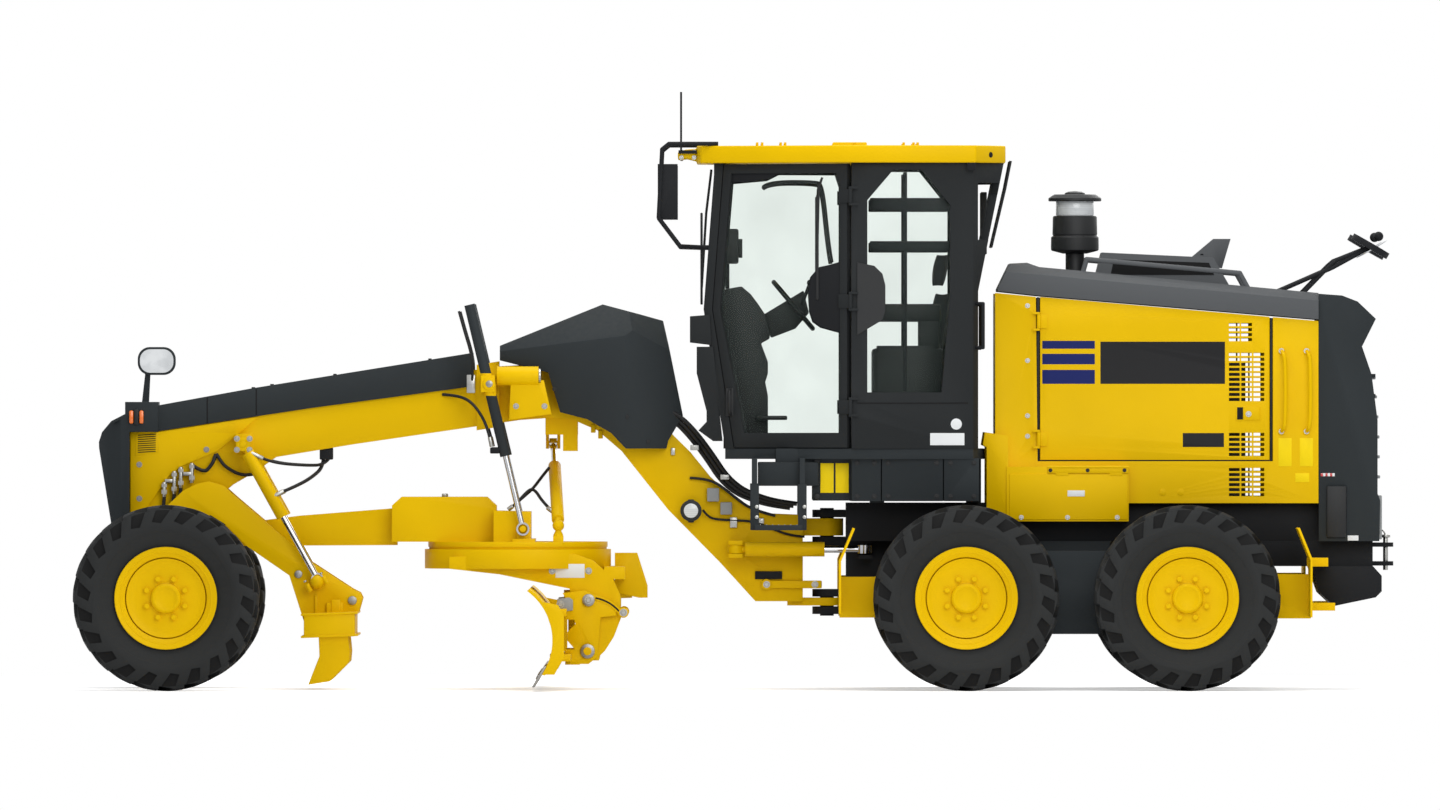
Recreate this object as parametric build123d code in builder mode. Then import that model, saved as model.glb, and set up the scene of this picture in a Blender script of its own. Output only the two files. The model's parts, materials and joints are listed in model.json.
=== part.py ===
from build123d import *
from math import hypot
import os

# Motor grader. The nose looks towards -X, the operator's left is -Y, and up is +Z.
# The origin is on the ground, midway along the machine. All sizes are in millimetres.

# Wheels
TYRE_RADIUS = 535
TYRE_WIDTH = 410
TRACK = 1850
RIM_FLANGE_RADIUS = 296
RIM_SEAT_RADIUS = 262
RIM_WIDTH = 340
RIM_WALL = 16
HUB_RADIUS = 87
HUB_CAP_RADIUS = 62
WHEEL_BOLT_CIRCLE = 119
WHEEL_BOLT_RADIUS = 11
WHEEL_BOLT_COUNT = 8
SPINDLE_RADIUS = 40
FRONT_AXLE_X = -3280
TANDEM_X = 1965
TANDEM_SPACING = 1273

# Fits
RUNNING_GAP = 0.3
PANEL_GAP = 6

# Front axle
BEAM_HALF_DEPTH = 70
LEAN_PIVOT_Y = 560
LEAN_PIVOT_Z = 500
LEAN_PIN_RADIUS = 28
KINGPIN_Y = 800
KINGPIN_RADIUS = 28
STEERING_ARM = 130
TIE_ROD_DROP = 130
LEAN_BAR_RISE = 150
LEAN_BAR_X_OFFSET = 145

# Frame
PIVOT_X = 530
BEAM_HALF_WIDTH = 150
RAIL_INNER = 300
RAIL_OUTER = 400
RAIL_BOTTOM = 860
RAIL_TOP = 1080

# Drawbar, circle and blade
DRAWBAR_PIN_X = -3120
DRAWBAR_PIN_Z = 880
CIRCLE_X = -1262
CIRCLE_RADIUS = 540
CIRCLE_BORE = 440
CIRCLE_BOTTOM = 700
CIRCLE_TOP = 812
TOOTH_COUNT = 72
TOOTH_HEIGHT = 26
TOOTH_ROOT = 26
TOOTH_TIP = 13
BLADE_LENGTH = 3100
TIP_PIVOT_X = -855
TIP_PIVOT_Z = 226
ARM_INNER = 400
ARM_OUTER = 450

# Cab
CAB_WALL = 45
CAB_FLOOR_Z = 1395
CAB_ROOF_Z = 3045
DOOR_FRONT_X = -120
DOOR_FRONT_Y = 430
DOOR_HINGE_X = 647
DOOR_HINGE_Y = 800
CAB_SIDE_REAR_X = 1370
CAB_SIDE_REAR_Y = 750
CAB_REAR_X = 1550
CAB_REAR_Y = 500
CAB_WAIST_X = 1400
CAB_WAIST_DROP = 740
CAB_KNEE_DROP = 845
ROOF_THICK = 100

# Hood
HOOD_HALF_WIDTH = 520
HOOD_SHEET = 40
HOOD_DOOR_FRONT_X = 1760
HOOD_DOOR_BOTTOM = 1330
TAIL_X = 3370
TAIL_LENGTH = 355
REAR_PANEL_LENGTH = 285

WHEEL_Z = TYRE_RADIUS
WHEEL_Y = TRACK / 2
TANDEM_WHEEL_XS = (TANDEM_X - TANDEM_SPACING / 2, TANDEM_X + TANDEM_SPACING / 2)
CAB_WAIST_Z = CAB_ROOF_Z - CAB_WAIST_DROP
CAB_KNEE_Z = CAB_ROOF_Z - CAB_KNEE_DROP
ROOF_TOP_Z = CAB_ROOF_Z + ROOF_THICK
HOOD_DOOR_REAR_X = TAIL_X - REAR_PANEL_LENGTH
REAR_END_X = TAIL_X + 315

# How far a trimming cut reaches, more than any piece's own size
TRIM_REACH = 6000

os.makedirs("parts", exist_ok=True)


def keep(part, label):
    """Label a finished piece and write its file."""
    part.label = label
    export_step(part, f"parts/{label}.step")


def outline(points, plane):
    """Give the face inside a closed outline on a plane."""
    with BuildSketch(plane) as face:
        with BuildLine():
            Polyline(*points, close=True)
        make_face()
    return face.sketch


def slab(points, start, end, mode=Mode.ADD):
    """Extrude a side view outline from one distance left of the middle to another."""
    extrude(outline(points, Plane.XZ.offset(start)), amount=end - start, mode=mode)


def slabs(points, inner, outer, mode=Mode.ADD):
    """Extrude a side view outline on both sides of the middle."""
    slab(points, inner, outer, mode)
    slab(points, -outer, -inner, mode)


def block(x_span, y_span, z_span, mode=Mode.ADD):
    """Add a block between three pairs of limits."""
    centre = [(span[0] + span[1]) / 2 for span in (x_span, y_span, z_span)]
    size = [abs(span[1] - span[0]) for span in (x_span, y_span, z_span)]
    with Locations(tuple(centre)):
        Box(*size, mode=mode)


def blocks(x_span, y_span, z_span, mode=Mode.ADD):
    """Add a block and its mirror image on the other side."""
    block(x_span, y_span, z_span, mode)
    block(x_span, (-y_span[1], -y_span[0]), z_span, mode)


def bar(start, end, radius, mode=Mode.ADD):
    """Add a round bar between two points."""
    way = Vector(*end) - Vector(*start)
    with BuildSketch(Plane(origin=start, z_dir=way)) as disc:
        Circle(radius)
    extrude(disc.sketch, amount=way.length, mode=mode)


def tube_run(points, radius):
    """Add round bars along a path with a ball at each bend."""
    for start, end in zip(points, points[1:]):
        bar(start, end, radius)
    for point in points[1:-1]:
        with Locations(point):
            Sphere(radius)


def cross_pin(x, z, radius, inner, outer, mode=Mode.ADD):
    """Add a round pin across the machine."""
    bar((x, inner, z), (x, outer, z), radius, mode)


def trim(first, second, third):
    """Cut away what lies outside the plane through three points, on the side where they run anticlockwise."""
    along = (Vector(*second) - Vector(*first)).normalized()
    out = along.cross(Vector(*third) - Vector(*first)).normalized()
    with BuildSketch(Plane(origin=first, x_dir=along, z_dir=out)) as wide:
        Rectangle(TRIM_REACH, TRIM_REACH)
    extrude(wide.sketch, amount=TRIM_REACH, mode=Mode.SUBTRACT)


def trim_both(first, second, third):
    """Trim on the near side and, mirrored, on the far side."""
    trim(first, second, third)
    mirrored = [(x, -y, z) for x, y, z in (first, third, second)]
    trim(*mirrored)


def towards(start, end, distance):
    """Give the point at a distance from start on the way to end."""
    way = Vector(*end) - Vector(*start)
    return tuple(Vector(*start) + way.normalized() * distance)


def upright_plane(start, end):
    """Give the upright plane from one plan corner to the next, on the ground."""
    along = Vector(*end) - Vector(*start)
    along = along.normalized()
    return Plane(origin=(*start, 0), x_dir=along, z_dir=along.cross(Vector(0, 0, 1)))


# Tyres and rims

# Tyre section from the bead to the crown: share of the half width, radius from the axle
TYRE_SECTION = (
    (0.72, RIM_SEAT_RADIUS + RUNNING_GAP),
    (0.72, RIM_FLANGE_RADIUS + 5),
    (0.93, TYRE_RADIUS - 160),
    (1.0, TYRE_RADIUS - 125),
    (1.0, TYRE_RADIUS - 62),
    (0.92, TYRE_RADIUS - 12),
    (0.78, TYRE_RADIUS),
)
LUG_COUNT = 22
LUG_PITCH = 360 / LUG_COUNT
# Grooves between the lugs: half width at the tread and at the foot, depth, and how far they sweep
GROOVE_HALF = 40
GROOVE_FOOT_HALF = 26
GROOVE_DEPTH = 28
GROOVE_SIDE_DEPTH = 13
GROOVE_START = 16
GROOVE_FOOT = 112
TREAD_SWEEP = -85
SIDE_SWEEP = -30


def turned(x, section, mode=Mode.ADD):
    """Spin a section round the wheel axis at x. The section is across and radius."""
    face = outline([(across, WHEEL_Z + radius) for across, radius in section], Plane.YZ.offset(x))
    revolve(face, axis=Axis((x, 0, WHEEL_Z), (0, 1, 0)), mode=mode)


WHEEL_AXIS = Axis((0, 0, WHEEL_Z), (0, 1, 0))
HALF_TYRE = TYRE_WIDTH / 2

# One groove, over the shoulder on one side at the top of the tyre
with BuildPart() as groove:
    crown = WHEEL_Z + TYRE_RADIUS
    reach = HALF_TYRE + 10
    across = [
        (-GROOVE_HALF, GROOVE_START), (GROOVE_HALF, GROOVE_START),
        (TREAD_SWEEP + GROOVE_HALF, reach), (TREAD_SWEEP - GROOVE_HALF, reach),
    ]
    extrude(outline(across, Plane.XY.offset(crown - GROOVE_DEPTH)), amount=GROOVE_DEPTH + 10)
    down = [
        (TREAD_SWEEP - GROOVE_HALF, crown - GROOVE_DEPTH + 2), (TREAD_SWEEP + GROOVE_HALF, crown - GROOVE_DEPTH + 2),
        (TREAD_SWEEP + SIDE_SWEEP + GROOVE_FOOT_HALF, crown - GROOVE_FOOT),
        (TREAD_SWEEP + SIDE_SWEEP - GROOVE_FOOT_HALF, crown - GROOVE_FOOT),
    ]
    slab(down, -reach, GROOVE_SIDE_DEPTH - HALF_TYRE)

with BuildPart() as tyre_form:
    near_half = [(share * HALF_TYRE, radius) for share, radius in TYRE_SECTION]
    far_half = [(-share * HALF_TYRE, radius) for share, radius in reversed(TYRE_SECTION)]
    turned(0, near_half + far_half)
    pair = (groove.part, groove.part.mirror(Plane.XZ).rotate(WHEEL_AXIS, LUG_PITCH / 2))
    add([cut.rotate(WHEEL_AXIS, LUG_PITCH * index) for index in range(LUG_COUNT) for cut in pair],
        mode=Mode.SUBTRACT)


def make_tyre(x, side, label):
    """Place a tyre on the wheel at x on one side."""
    keep(tyre_form.part.moved(Location((x, side * WHEEL_Y, 0))), label)


def make_rim(x, side, label):
    """Make the rim with its dished disc, hub, cap and bolts."""
    middle = side * WHEEL_Y
    half = RIM_WIDTH / 2
    seat = RIM_SEAT_RADIUS
    flange = RIM_FLANGE_RADIUS
    well = seat - RIM_WALL
    # Distance outwards from the middle of the rim, radius from the axle
    barrel = (
        (half, well), (half, flange), (half - 14, flange), (half - 14, seat),
        (14 - half, seat), (14 - half, flange), (-half, flange), (-half, well),
    )
    disc = ((30, well + 4), (52, well + 4), (110, 165), (110, 0), (86, 0), (86, 155))
    hub = ((-60, HUB_RADIUS), (128, HUB_RADIUS), (128, HUB_CAP_RADIUS), (146, 48), (146, 0), (-60, 0))
    bore = ((-60, SPINDLE_RADIUS + RUNNING_GAP), (100, SPINDLE_RADIUS + RUNNING_GAP), (100, 0), (-60, 0))
    with BuildPart() as rim:
        for section in (barrel, disc, hub):
            turned(x, [(middle + side * out, radius) for out, radius in section])
        turned(x, [(middle + side * out, radius) for out, radius in bore], Mode.SUBTRACT)
        face = Plane(origin=(x, middle + side * 110, WHEEL_Z), x_dir=(1, 0, 0), z_dir=(0, side, 0))
        with BuildSketch(face):
            with PolarLocations(WHEEL_BOLT_CIRCLE, WHEEL_BOLT_COUNT):
                Circle(WHEEL_BOLT_RADIUS)
        extrude(amount=16)
    keep(rim.part, label)


# Wheel name, axle place, side
WHEELS = (
    ("front_left", FRONT_AXLE_X, -1),
    ("front_right", FRONT_AXLE_X, 1),
    ("tandem_front_left", TANDEM_WHEEL_XS[0], -1),
    ("tandem_front_right", TANDEM_WHEEL_XS[0], 1),
    ("tandem_rear_left", TANDEM_WHEEL_XS[1], -1),
    ("tandem_rear_right", TANDEM_WHEEL_XS[1], 1),
)
for wheel_name, wheel_x, wheel_side in WHEELS:
    make_tyre(wheel_x, wheel_side, f"tyre_{wheel_name}")
    make_rim(wheel_x, wheel_side, f"rim_{wheel_name}")

# Front axle, lean brackets and knuckles

AXLE_MID_Z = 680
AXLE_PIN_RADIUS = 35
LUG_HALF = 45
LUG_RADIUS = 68
FORK_HALF = 75

with BuildPart() as front_axle:
    # Front view: arched beam from one lean lug to the other
    arch = [
        (0, AXLE_MID_Z + 60), (200, AXLE_MID_Z + 50), (LEAN_PIVOT_Y - 120, LEAN_PIVOT_Z + 62),
        (LEAN_PIVOT_Y - 120, LEAN_PIVOT_Z - 30), (180, AXLE_MID_Z - 80), (0, AXLE_MID_Z - 80),
    ]
    arch += [(-y, z) for y, z in reversed(arch[1:-1])]
    extrude(outline(arch, Plane.YZ.offset(FRONT_AXLE_X - BEAM_HALF_DEPTH)), amount=2 * BEAM_HALF_DEPTH)
    for side in (-1, 1):
        lug = [
            (side * (LEAN_PIVOT_Y - 160), LEAN_PIVOT_Z - 45), (side * LEAN_PIVOT_Y, LEAN_PIVOT_Z - LUG_RADIUS),
            (side * LEAN_PIVOT_Y, LEAN_PIVOT_Z + LUG_RADIUS), (side * (LEAN_PIVOT_Y - 160), LEAN_PIVOT_Z + 80),
        ]
        extrude(outline(lug, Plane.YZ.offset(FRONT_AXLE_X - LUG_HALF)), amount=2 * LUG_HALF)
        eye = (side * LEAN_PIVOT_Y, LEAN_PIVOT_Z)
        bar((FRONT_AXLE_X - LUG_HALF, *eye), (FRONT_AXLE_X + LUG_HALF, *eye), LUG_RADIUS)
        bar((FRONT_AXLE_X - FORK_HALF, *eye), (FRONT_AXLE_X + FORK_HALF, *eye), LEAN_PIN_RADIUS)
    bar((FRONT_AXLE_X - 118, 0, AXLE_MID_Z), (FRONT_AXLE_X + 118, 0, AXLE_MID_Z), AXLE_PIN_RADIUS,
        mode=Mode.SUBTRACT)
keep(front_axle.part, "front_axle")

KNUCKLE_HALF_HEIGHT = 100
YOKE_HALF_HEIGHT = 148
YOKE_HALF_DEPTH = 48
YOKE_ROOT_Y = KINGPIN_Y - 118
# Below this height the root plate is narrow, so that the steering arm swings past it
YOKE_SHOULDER_Z = 475
FORK_REACH = YOKE_ROOT_Y + 5 - LEAN_PIVOT_Y
# Distance outward from the lean pivot, height over it
FORK_OUTLINE = ((-55, -60), (FORK_REACH, -60), (FORK_REACH, 150), (40, 190), (-40, 190), (-55, 60))


def make_lean_bracket(side, label):
    """Make the bracket that leans on the axle end and holds the kingpin."""
    lean_bar_z = LEAN_PIVOT_Z + LEAN_BAR_RISE
    with BuildPart() as bracket:
        # Fork plates each side of the axle lug
        for start in (-FORK_HALF, LUG_HALF + 3):
            fork = [(side * (LEAN_PIVOT_Y + out), LEAN_PIVOT_Z + rise) for out, rise in FORK_OUTLINE]
            extrude(outline(fork, Plane.YZ.offset(FRONT_AXLE_X + start)), amount=FORK_HALF - LUG_HALF - 3)
        eye = (side * LEAN_PIVOT_Y, LEAN_PIVOT_Z)
        bar((FRONT_AXLE_X - FORK_HALF - 1, *eye), (FRONT_AXLE_X + FORK_HALF + 1, *eye),
            LEAN_PIN_RADIUS + RUNNING_GAP, mode=Mode.SUBTRACT)
        # Root plate and the two arms that hold the kingpin
        root = sorted((side * YOKE_ROOT_Y, side * (YOKE_ROOT_Y + 45)))
        arm = sorted((side * YOKE_ROOT_Y, side * (KINGPIN_Y + 45)))
        yoke_foot = WHEEL_Z - YOKE_HALF_HEIGHT
        yoke_top = WHEEL_Z + YOKE_HALF_HEIGHT
        for half_depth, low in ((FORK_HALF, YOKE_SHOULDER_Z), (YOKE_HALF_DEPTH - 4, yoke_foot)):
            block((FRONT_AXLE_X - half_depth, FRONT_AXLE_X + half_depth), root, (low, yoke_top))
        clear = KNUCKLE_HALF_HEIGHT + 4
        for low, high in ((-YOKE_HALF_HEIGHT, -clear), (clear, YOKE_HALF_HEIGHT)):
            block((FRONT_AXLE_X - YOKE_HALF_DEPTH, FRONT_AXLE_X + YOKE_HALF_DEPTH), arm,
                  (WHEEL_Z + low, WHEEL_Z + high))
        bar((FRONT_AXLE_X, side * KINGPIN_Y, WHEEL_Z - YOKE_HALF_HEIGHT),
            (FRONT_AXLE_X, side * KINGPIN_Y, WHEEL_Z + YOKE_HALF_HEIGHT), KINGPIN_RADIUS)
        # Stub for the lean bar, in front of the bracket
        stub = (side * LEAN_PIVOT_Y, lean_bar_z)
        bar((FRONT_AXLE_X - FORK_HALF + 5, *stub), (FRONT_AXLE_X - LEAN_BAR_X_OFFSET - 22, *stub), 16)
    keep(bracket.part, label)


def make_knuckle(side, label):
    """Make the knuckle that turns on the kingpin, with its spindle and steering arm."""
    king_y = side * KINGPIN_Y
    with BuildPart() as knuckle:
        bar((FRONT_AXLE_X, king_y, WHEEL_Z - KNUCKLE_HALF_HEIGHT),
            (FRONT_AXLE_X, king_y, WHEEL_Z + KNUCKLE_HALF_HEIGHT), 54)
        for reach, radius in ((-68, 62), (92, SPINDLE_RADIUS)):
            cross_pin(FRONT_AXLE_X, WHEEL_Z, radius, king_y + side * 40, side * (WHEEL_Y + reach))
        # Steering arm, back from the foot of the knuckle
        tie_z = WHEEL_Z - TIE_ROD_DROP
        block((FRONT_AXLE_X + 30, FRONT_AXLE_X + STEERING_ARM + 22), (king_y - 22, king_y + 22),
              (WHEEL_Z - KNUCKLE_HALF_HEIGHT, WHEEL_Z - KNUCKLE_HALF_HEIGHT + 28))
        bar((FRONT_AXLE_X + STEERING_ARM, king_y, WHEEL_Z - KNUCKLE_HALF_HEIGHT),
            (FRONT_AXLE_X + STEERING_ARM, king_y, tie_z + 22), 11)
        bar((FRONT_AXLE_X, king_y, WHEEL_Z - KNUCKLE_HALF_HEIGHT),
            (FRONT_AXLE_X, king_y, WHEEL_Z + KNUCKLE_HALF_HEIGHT), KINGPIN_RADIUS + RUNNING_GAP,
            mode=Mode.SUBTRACT)
    keep(knuckle.part, label)


for side, name in ((-1, "left"), (1, "right")):
    make_lean_bracket(side, f"lean_bracket_{name}")
    make_knuckle(side, f"knuckle_{name}")

with BuildPart() as lean_bar:
    bar_x = FRONT_AXLE_X - LEAN_BAR_X_OFFSET
    bar_z = LEAN_PIVOT_Z + LEAN_BAR_RISE
    bar((bar_x, -LEAN_PIVOT_Y, bar_z), (bar_x, LEAN_PIVOT_Y, bar_z), 18)
    for side in (-1, 1):
        bar((bar_x - 20, side * LEAN_PIVOT_Y, bar_z), (bar_x + 20, side * LEAN_PIVOT_Y, bar_z), 34)
        bar((bar_x - 21, side * LEAN_PIVOT_Y, bar_z), (bar_x + 21, side * LEAN_PIVOT_Y, bar_z),
            16 + RUNNING_GAP, mode=Mode.SUBTRACT)
keep(lean_bar.part, "lean_bar")

TIE_X = FRONT_AXLE_X + STEERING_ARM
TIE_Z = WHEEL_Z - TIE_ROD_DROP
with BuildPart() as tie_rod_ball:
    with Locations((TIE_X, -KINGPIN_Y, TIE_Z)):
        Sphere(21.5)
keep(tie_rod_ball.part, "tie_rod_ball")

with BuildPart() as tie_rod:
    bar((TIE_X, -KINGPIN_Y, TIE_Z), (TIE_X, KINGPIN_Y, TIE_Z), 16)
    for side in (-1, 1):
        bar((TIE_X, side * KINGPIN_Y, TIE_Z - 15), (TIE_X, side * KINGPIN_Y, TIE_Z + 15), 32)
    with Locations((TIE_X, -KINGPIN_Y, TIE_Z)):
        Sphere(21.5 + RUNNING_GAP, mode=Mode.SUBTRACT)
keep(tie_rod.part, "tie_rod")

# Front frame: box beam, gooseneck, articulation lugs and brackets

GOOSENECK = [
    (-3510, 950), (-3510, 1495), (-3330, 1525), (-1400, 1870), (-785, 1900), (-495, 1695), (-420, 1530),
    (-260, 1372), (-145, 1230), (-30, 1125), (95, 1050), (155, 1020), (390, 1010), (390, 510), (115, 510),
    (-90, 735), (-390, 1040), (-550, 1240), (-660, 1380), (-800, 1500), (-950, 1565), (-1075, 1572),
    (-1250, 1560), (-2210, 1420), (-2665, 1345), (-2785, 1260), (-2915, 1185), (-3195, 950),
]
LUG_PIN_RADIUS = 40
LUG_END_RADIUS = 95
SHIFT_TOP = (-1060, 330, 1425)
SHIFT_FOOT = (-1025, -420, 950)
SADDLE_X = -1430
SADDLE_Z = 1770
SADDLE_PIN_RADIUS = 22
LIFT_Y = 400
LIFT_ARM_Y = 350
LIFT_ARM_Z = 1815
LIFT_ARM_RADIUS = 55
LIFT_BALL_X = -1230
LIFT_BALL_Z = 930
ARTIC_FRONT_X = 0
ARTIC_REAR_X = 750
ARTIC_Z = 812
ARTIC_Y = 280
SCARIFIER_PIVOT_X = -3370
SCARIFIER_PIVOT_Z = 800
SCARIFIER_CYLINDER_Y = 290
SCARIFIER_TOP_X = -2850
SCARIFIER_TOP_Z = 1420

with BuildPart() as front_frame:
    slab(GOOSENECK, -BEAM_HALF_WIDTH, BEAM_HALF_WIDTH)
    # Pedestal over the front axle, with the two ears that hold the axle pin
    slab([(-3500, 960), (FRONT_AXLE_X - 115, 750), (FRONT_AXLE_X + 115, 750), (-3195, 960)],
         -BEAM_HALF_WIDTH, BEAM_HALF_WIDTH)
    for start in (-115, 75):
        block((FRONT_AXLE_X + start, FRONT_AXLE_X + start + 40), (-90, 90), (AXLE_MID_Z - 60, 760))
    bar((FRONT_AXLE_X - 115, 0, AXLE_MID_Z), (FRONT_AXLE_X + 115, 0, AXLE_MID_Z), AXLE_PIN_RADIUS - RUNNING_GAP)
    # Ears and pin for the drawbar
    slabs([(-3200, 800), (-3200, 960), (DRAWBAR_PIN_X + 50, 930), (DRAWBAR_PIN_X + 50, 830)], 52, 82)
    cross_pin(DRAWBAR_PIN_X, DRAWBAR_PIN_Z, 30, -82, 82)
    # Scarifier pivot pins
    cross_pin(SCARIFIER_PIVOT_X, SCARIFIER_PIVOT_Z, 30, -245, 245)
    # Articulation lugs, upper and lower
    for low, high in ((890, 990), (485, 530)):
        block((300, PIVOT_X), (-LUG_END_RADIUS, LUG_END_RADIUS), (low, high))
        bar((PIVOT_X, 0, low), (PIVOT_X, 0, high), LUG_END_RADIUS)
        bar((PIVOT_X, 0, low), (PIVOT_X, 0, high), LUG_PIN_RADIUS + RUNNING_GAP, mode=Mode.SUBTRACT)
    # Articulation cylinder clevises
    for side in (-1, 1):
        near, far = sorted((side * BEAM_HALF_WIDTH, side * (ARTIC_Y + 45)))
        for low, high in ((ARTIC_Z - 50, ARTIC_Z - 26), (ARTIC_Z + 26, ARTIC_Z + 50)):
            block((ARTIC_FRONT_X - 40, ARTIC_FRONT_X + 40), (near, far), (low, high))
        bar((ARTIC_FRONT_X, side * ARTIC_Y, ARTIC_Z - 50), (ARTIC_FRONT_X, side * ARTIC_Y, ARTIC_Z + 50), 20)
    # Centre shift bracket under the beam
    block((-1000, -915), (-90, 90), (1380, 1575))
    block((-1102, -915), (-90, SHIFT_TOP[1] + 35), (1475, 1575))
    for start in (SHIFT_TOP[0] - 42, SHIFT_TOP[0] + 24):
        block((start, start + 18), (SHIFT_TOP[1] - 35, SHIFT_TOP[1] + 35), (SHIFT_TOP[2] - 32, 1480))
    bar((SHIFT_TOP[0] - 42, *SHIFT_TOP[1:]), (SHIFT_TOP[0] + 42, *SHIFT_TOP[1:]), 14)
    # Lift saddle: collar round the beam and the arms that hold the lift cylinders
    collar = BEAM_HALF_WIDTH + 25
    slab([(-1500, 1500), (-1370, 1520), (-1370, 1900), (-1500, 1880)], -collar, collar)
    for side in (-1, 1):
        near, far = sorted((side * BEAM_HALF_WIDTH, side * (LIFT_Y - 45)))
        block((SADDLE_X - 45, SADDLE_X + 45), (near, far), (SADDLE_Z - 50, SADDLE_Z + 50))
        cross_pin(SADDLE_X, SADDLE_Z, SADDLE_PIN_RADIUS, side * (LIFT_Y - 60), side * (LIFT_Y - 31.5))
    # Lift arms: a tube behind each cylinder on a gusseted bracket
    slabs([(-1310, 1560), (-1065, 1595), (-1110, 1790), (-1300, 1790)], BEAM_HALF_WIDTH, LIFT_ARM_Y + 20)
    for side in (-1, 1):
        arm_y = side * LIFT_ARM_Y
        bar((SADDLE_X + 50, arm_y, LIFT_ARM_Z), (-1140, arm_y, LIFT_ARM_Z), LIFT_ARM_RADIUS)
    # Cheek plates on both sides of the beam behind the nose
    cheek = [
        (-3505, 1490), (-3346, 1490), (-2765, 1578), (-2874, 1485), (-3002, 1380), (-3210, 1293), (-3286, 1235),
        (-3407, 1056), (-3505, 1021),
    ]
    slabs(cheek, BEAM_HALF_WIDTH, BEAM_HALF_WIDTH + 14)
    # Scarifier cylinder brackets
    for side in (-1, 1):
        bracket = sorted((side * BEAM_HALF_WIDTH, side * (SCARIFIER_CYLINDER_Y - 42)))
        bracket_x = (SCARIFIER_TOP_X - 45, SCARIFIER_TOP_X + 45)
        block(bracket_x, bracket, (SCARIFIER_TOP_Z - 50, SCARIFIER_TOP_Z + 60))
        bar((SCARIFIER_TOP_X, side * (SCARIFIER_CYLINDER_Y - 45), SCARIFIER_TOP_Z),
            (SCARIFIER_TOP_X, side * (SCARIFIER_CYLINDER_Y + 20), SCARIFIER_TOP_Z), 20)
keep(front_frame.part, "front_frame")

# Dark covers on the front frame
COVER_HALF = 168
NOSE_HALF = 230

with BuildPart() as frame_covers:
    # Gooseneck cover, wide at its front and narrow at its back
    cover = [
        (-1365, 1990), (-770, 2230), (-545, 2170), (-420, 2135), (-385, 1980), (-305, 1585), (-390, 1440),
        (-400, 1395), (-635, 1395), (-720, 1485), (-860, 1565), (-1015, 1605), (-1085, 1835), (-1365, 1905),
    ]
    slab(cover, -330, 330)
    plan = [(-1400, -250), (-1400, 250), (-640, 330), (-300, 190), (-300, -190), (-640, -330)]
    extrude(outline(plan, Plane.XY.offset(1300)), amount=1000, mode=Mode.INTERSECT)
    trim_both((-1372, -250, 1960), (-595, -330, 2059), (-774, -150, 2227))
    trim_both((-595, -330, 2059), (-391, -215, 1978), (-548, -170, 2169))
    # Band along the beam
    band = [
        (-3346, 1495), (-3346, 1645), (-2795, 1745), (-1520, 1950), (-1520, 1755), (-2455, 1630), (-2745, 1585),
    ]
    slab(band, -COVER_HALF, COVER_HALF)
    # Nose and lamp box
    slab([(-3535, 1595), (-3616, 1554), (-3671, 1490), (-3690, 1433), (-3689, 1398), (-3616, 957), (-3510, 957),
          (-3510, 1595)], -NOSE_HALF, NOSE_HALF)
    block((-3535, -3345), (-NOSE_HALF, NOSE_HALF), (1491, 1665))
    plan = [(-3345, -NOSE_HALF), (-3560, -NOSE_HALF), (-3640, -170), (-3700, -90), (-3700, 90), (-3640, 170),
            (-3560, NOSE_HALF), (-3345, NOSE_HALF), (-200, 400), (-200, -400)]
    extrude(outline(plan, Plane.XY.offset(900)), amount=1500, mode=Mode.INTERSECT)
    slab(GOOSENECK, -BEAM_HALF_WIDTH - RUNNING_GAP, BEAM_HALF_WIDTH + RUNNING_GAP, mode=Mode.SUBTRACT)
    # Nose mirror on its stalk
    slab([(-3442, 1655), (-3400, 1655), (-3390, 1860), (-3419, 1860)], 60, 72)
    with BuildSketch(Plane.XZ.offset(60)):
        with Locations((-3355, 1902)):
            RectangleRounded(220, 162, 70)
    extrude(amount=35)
keep(frame_covers.part, "frame_covers")

# Rear frame

HITCH_X = REAR_END_X + 85
HITCH_END_RADIUS = 45
HITCH_BORE = 32
END_PLATE = 30
SEAT = 0.3

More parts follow.
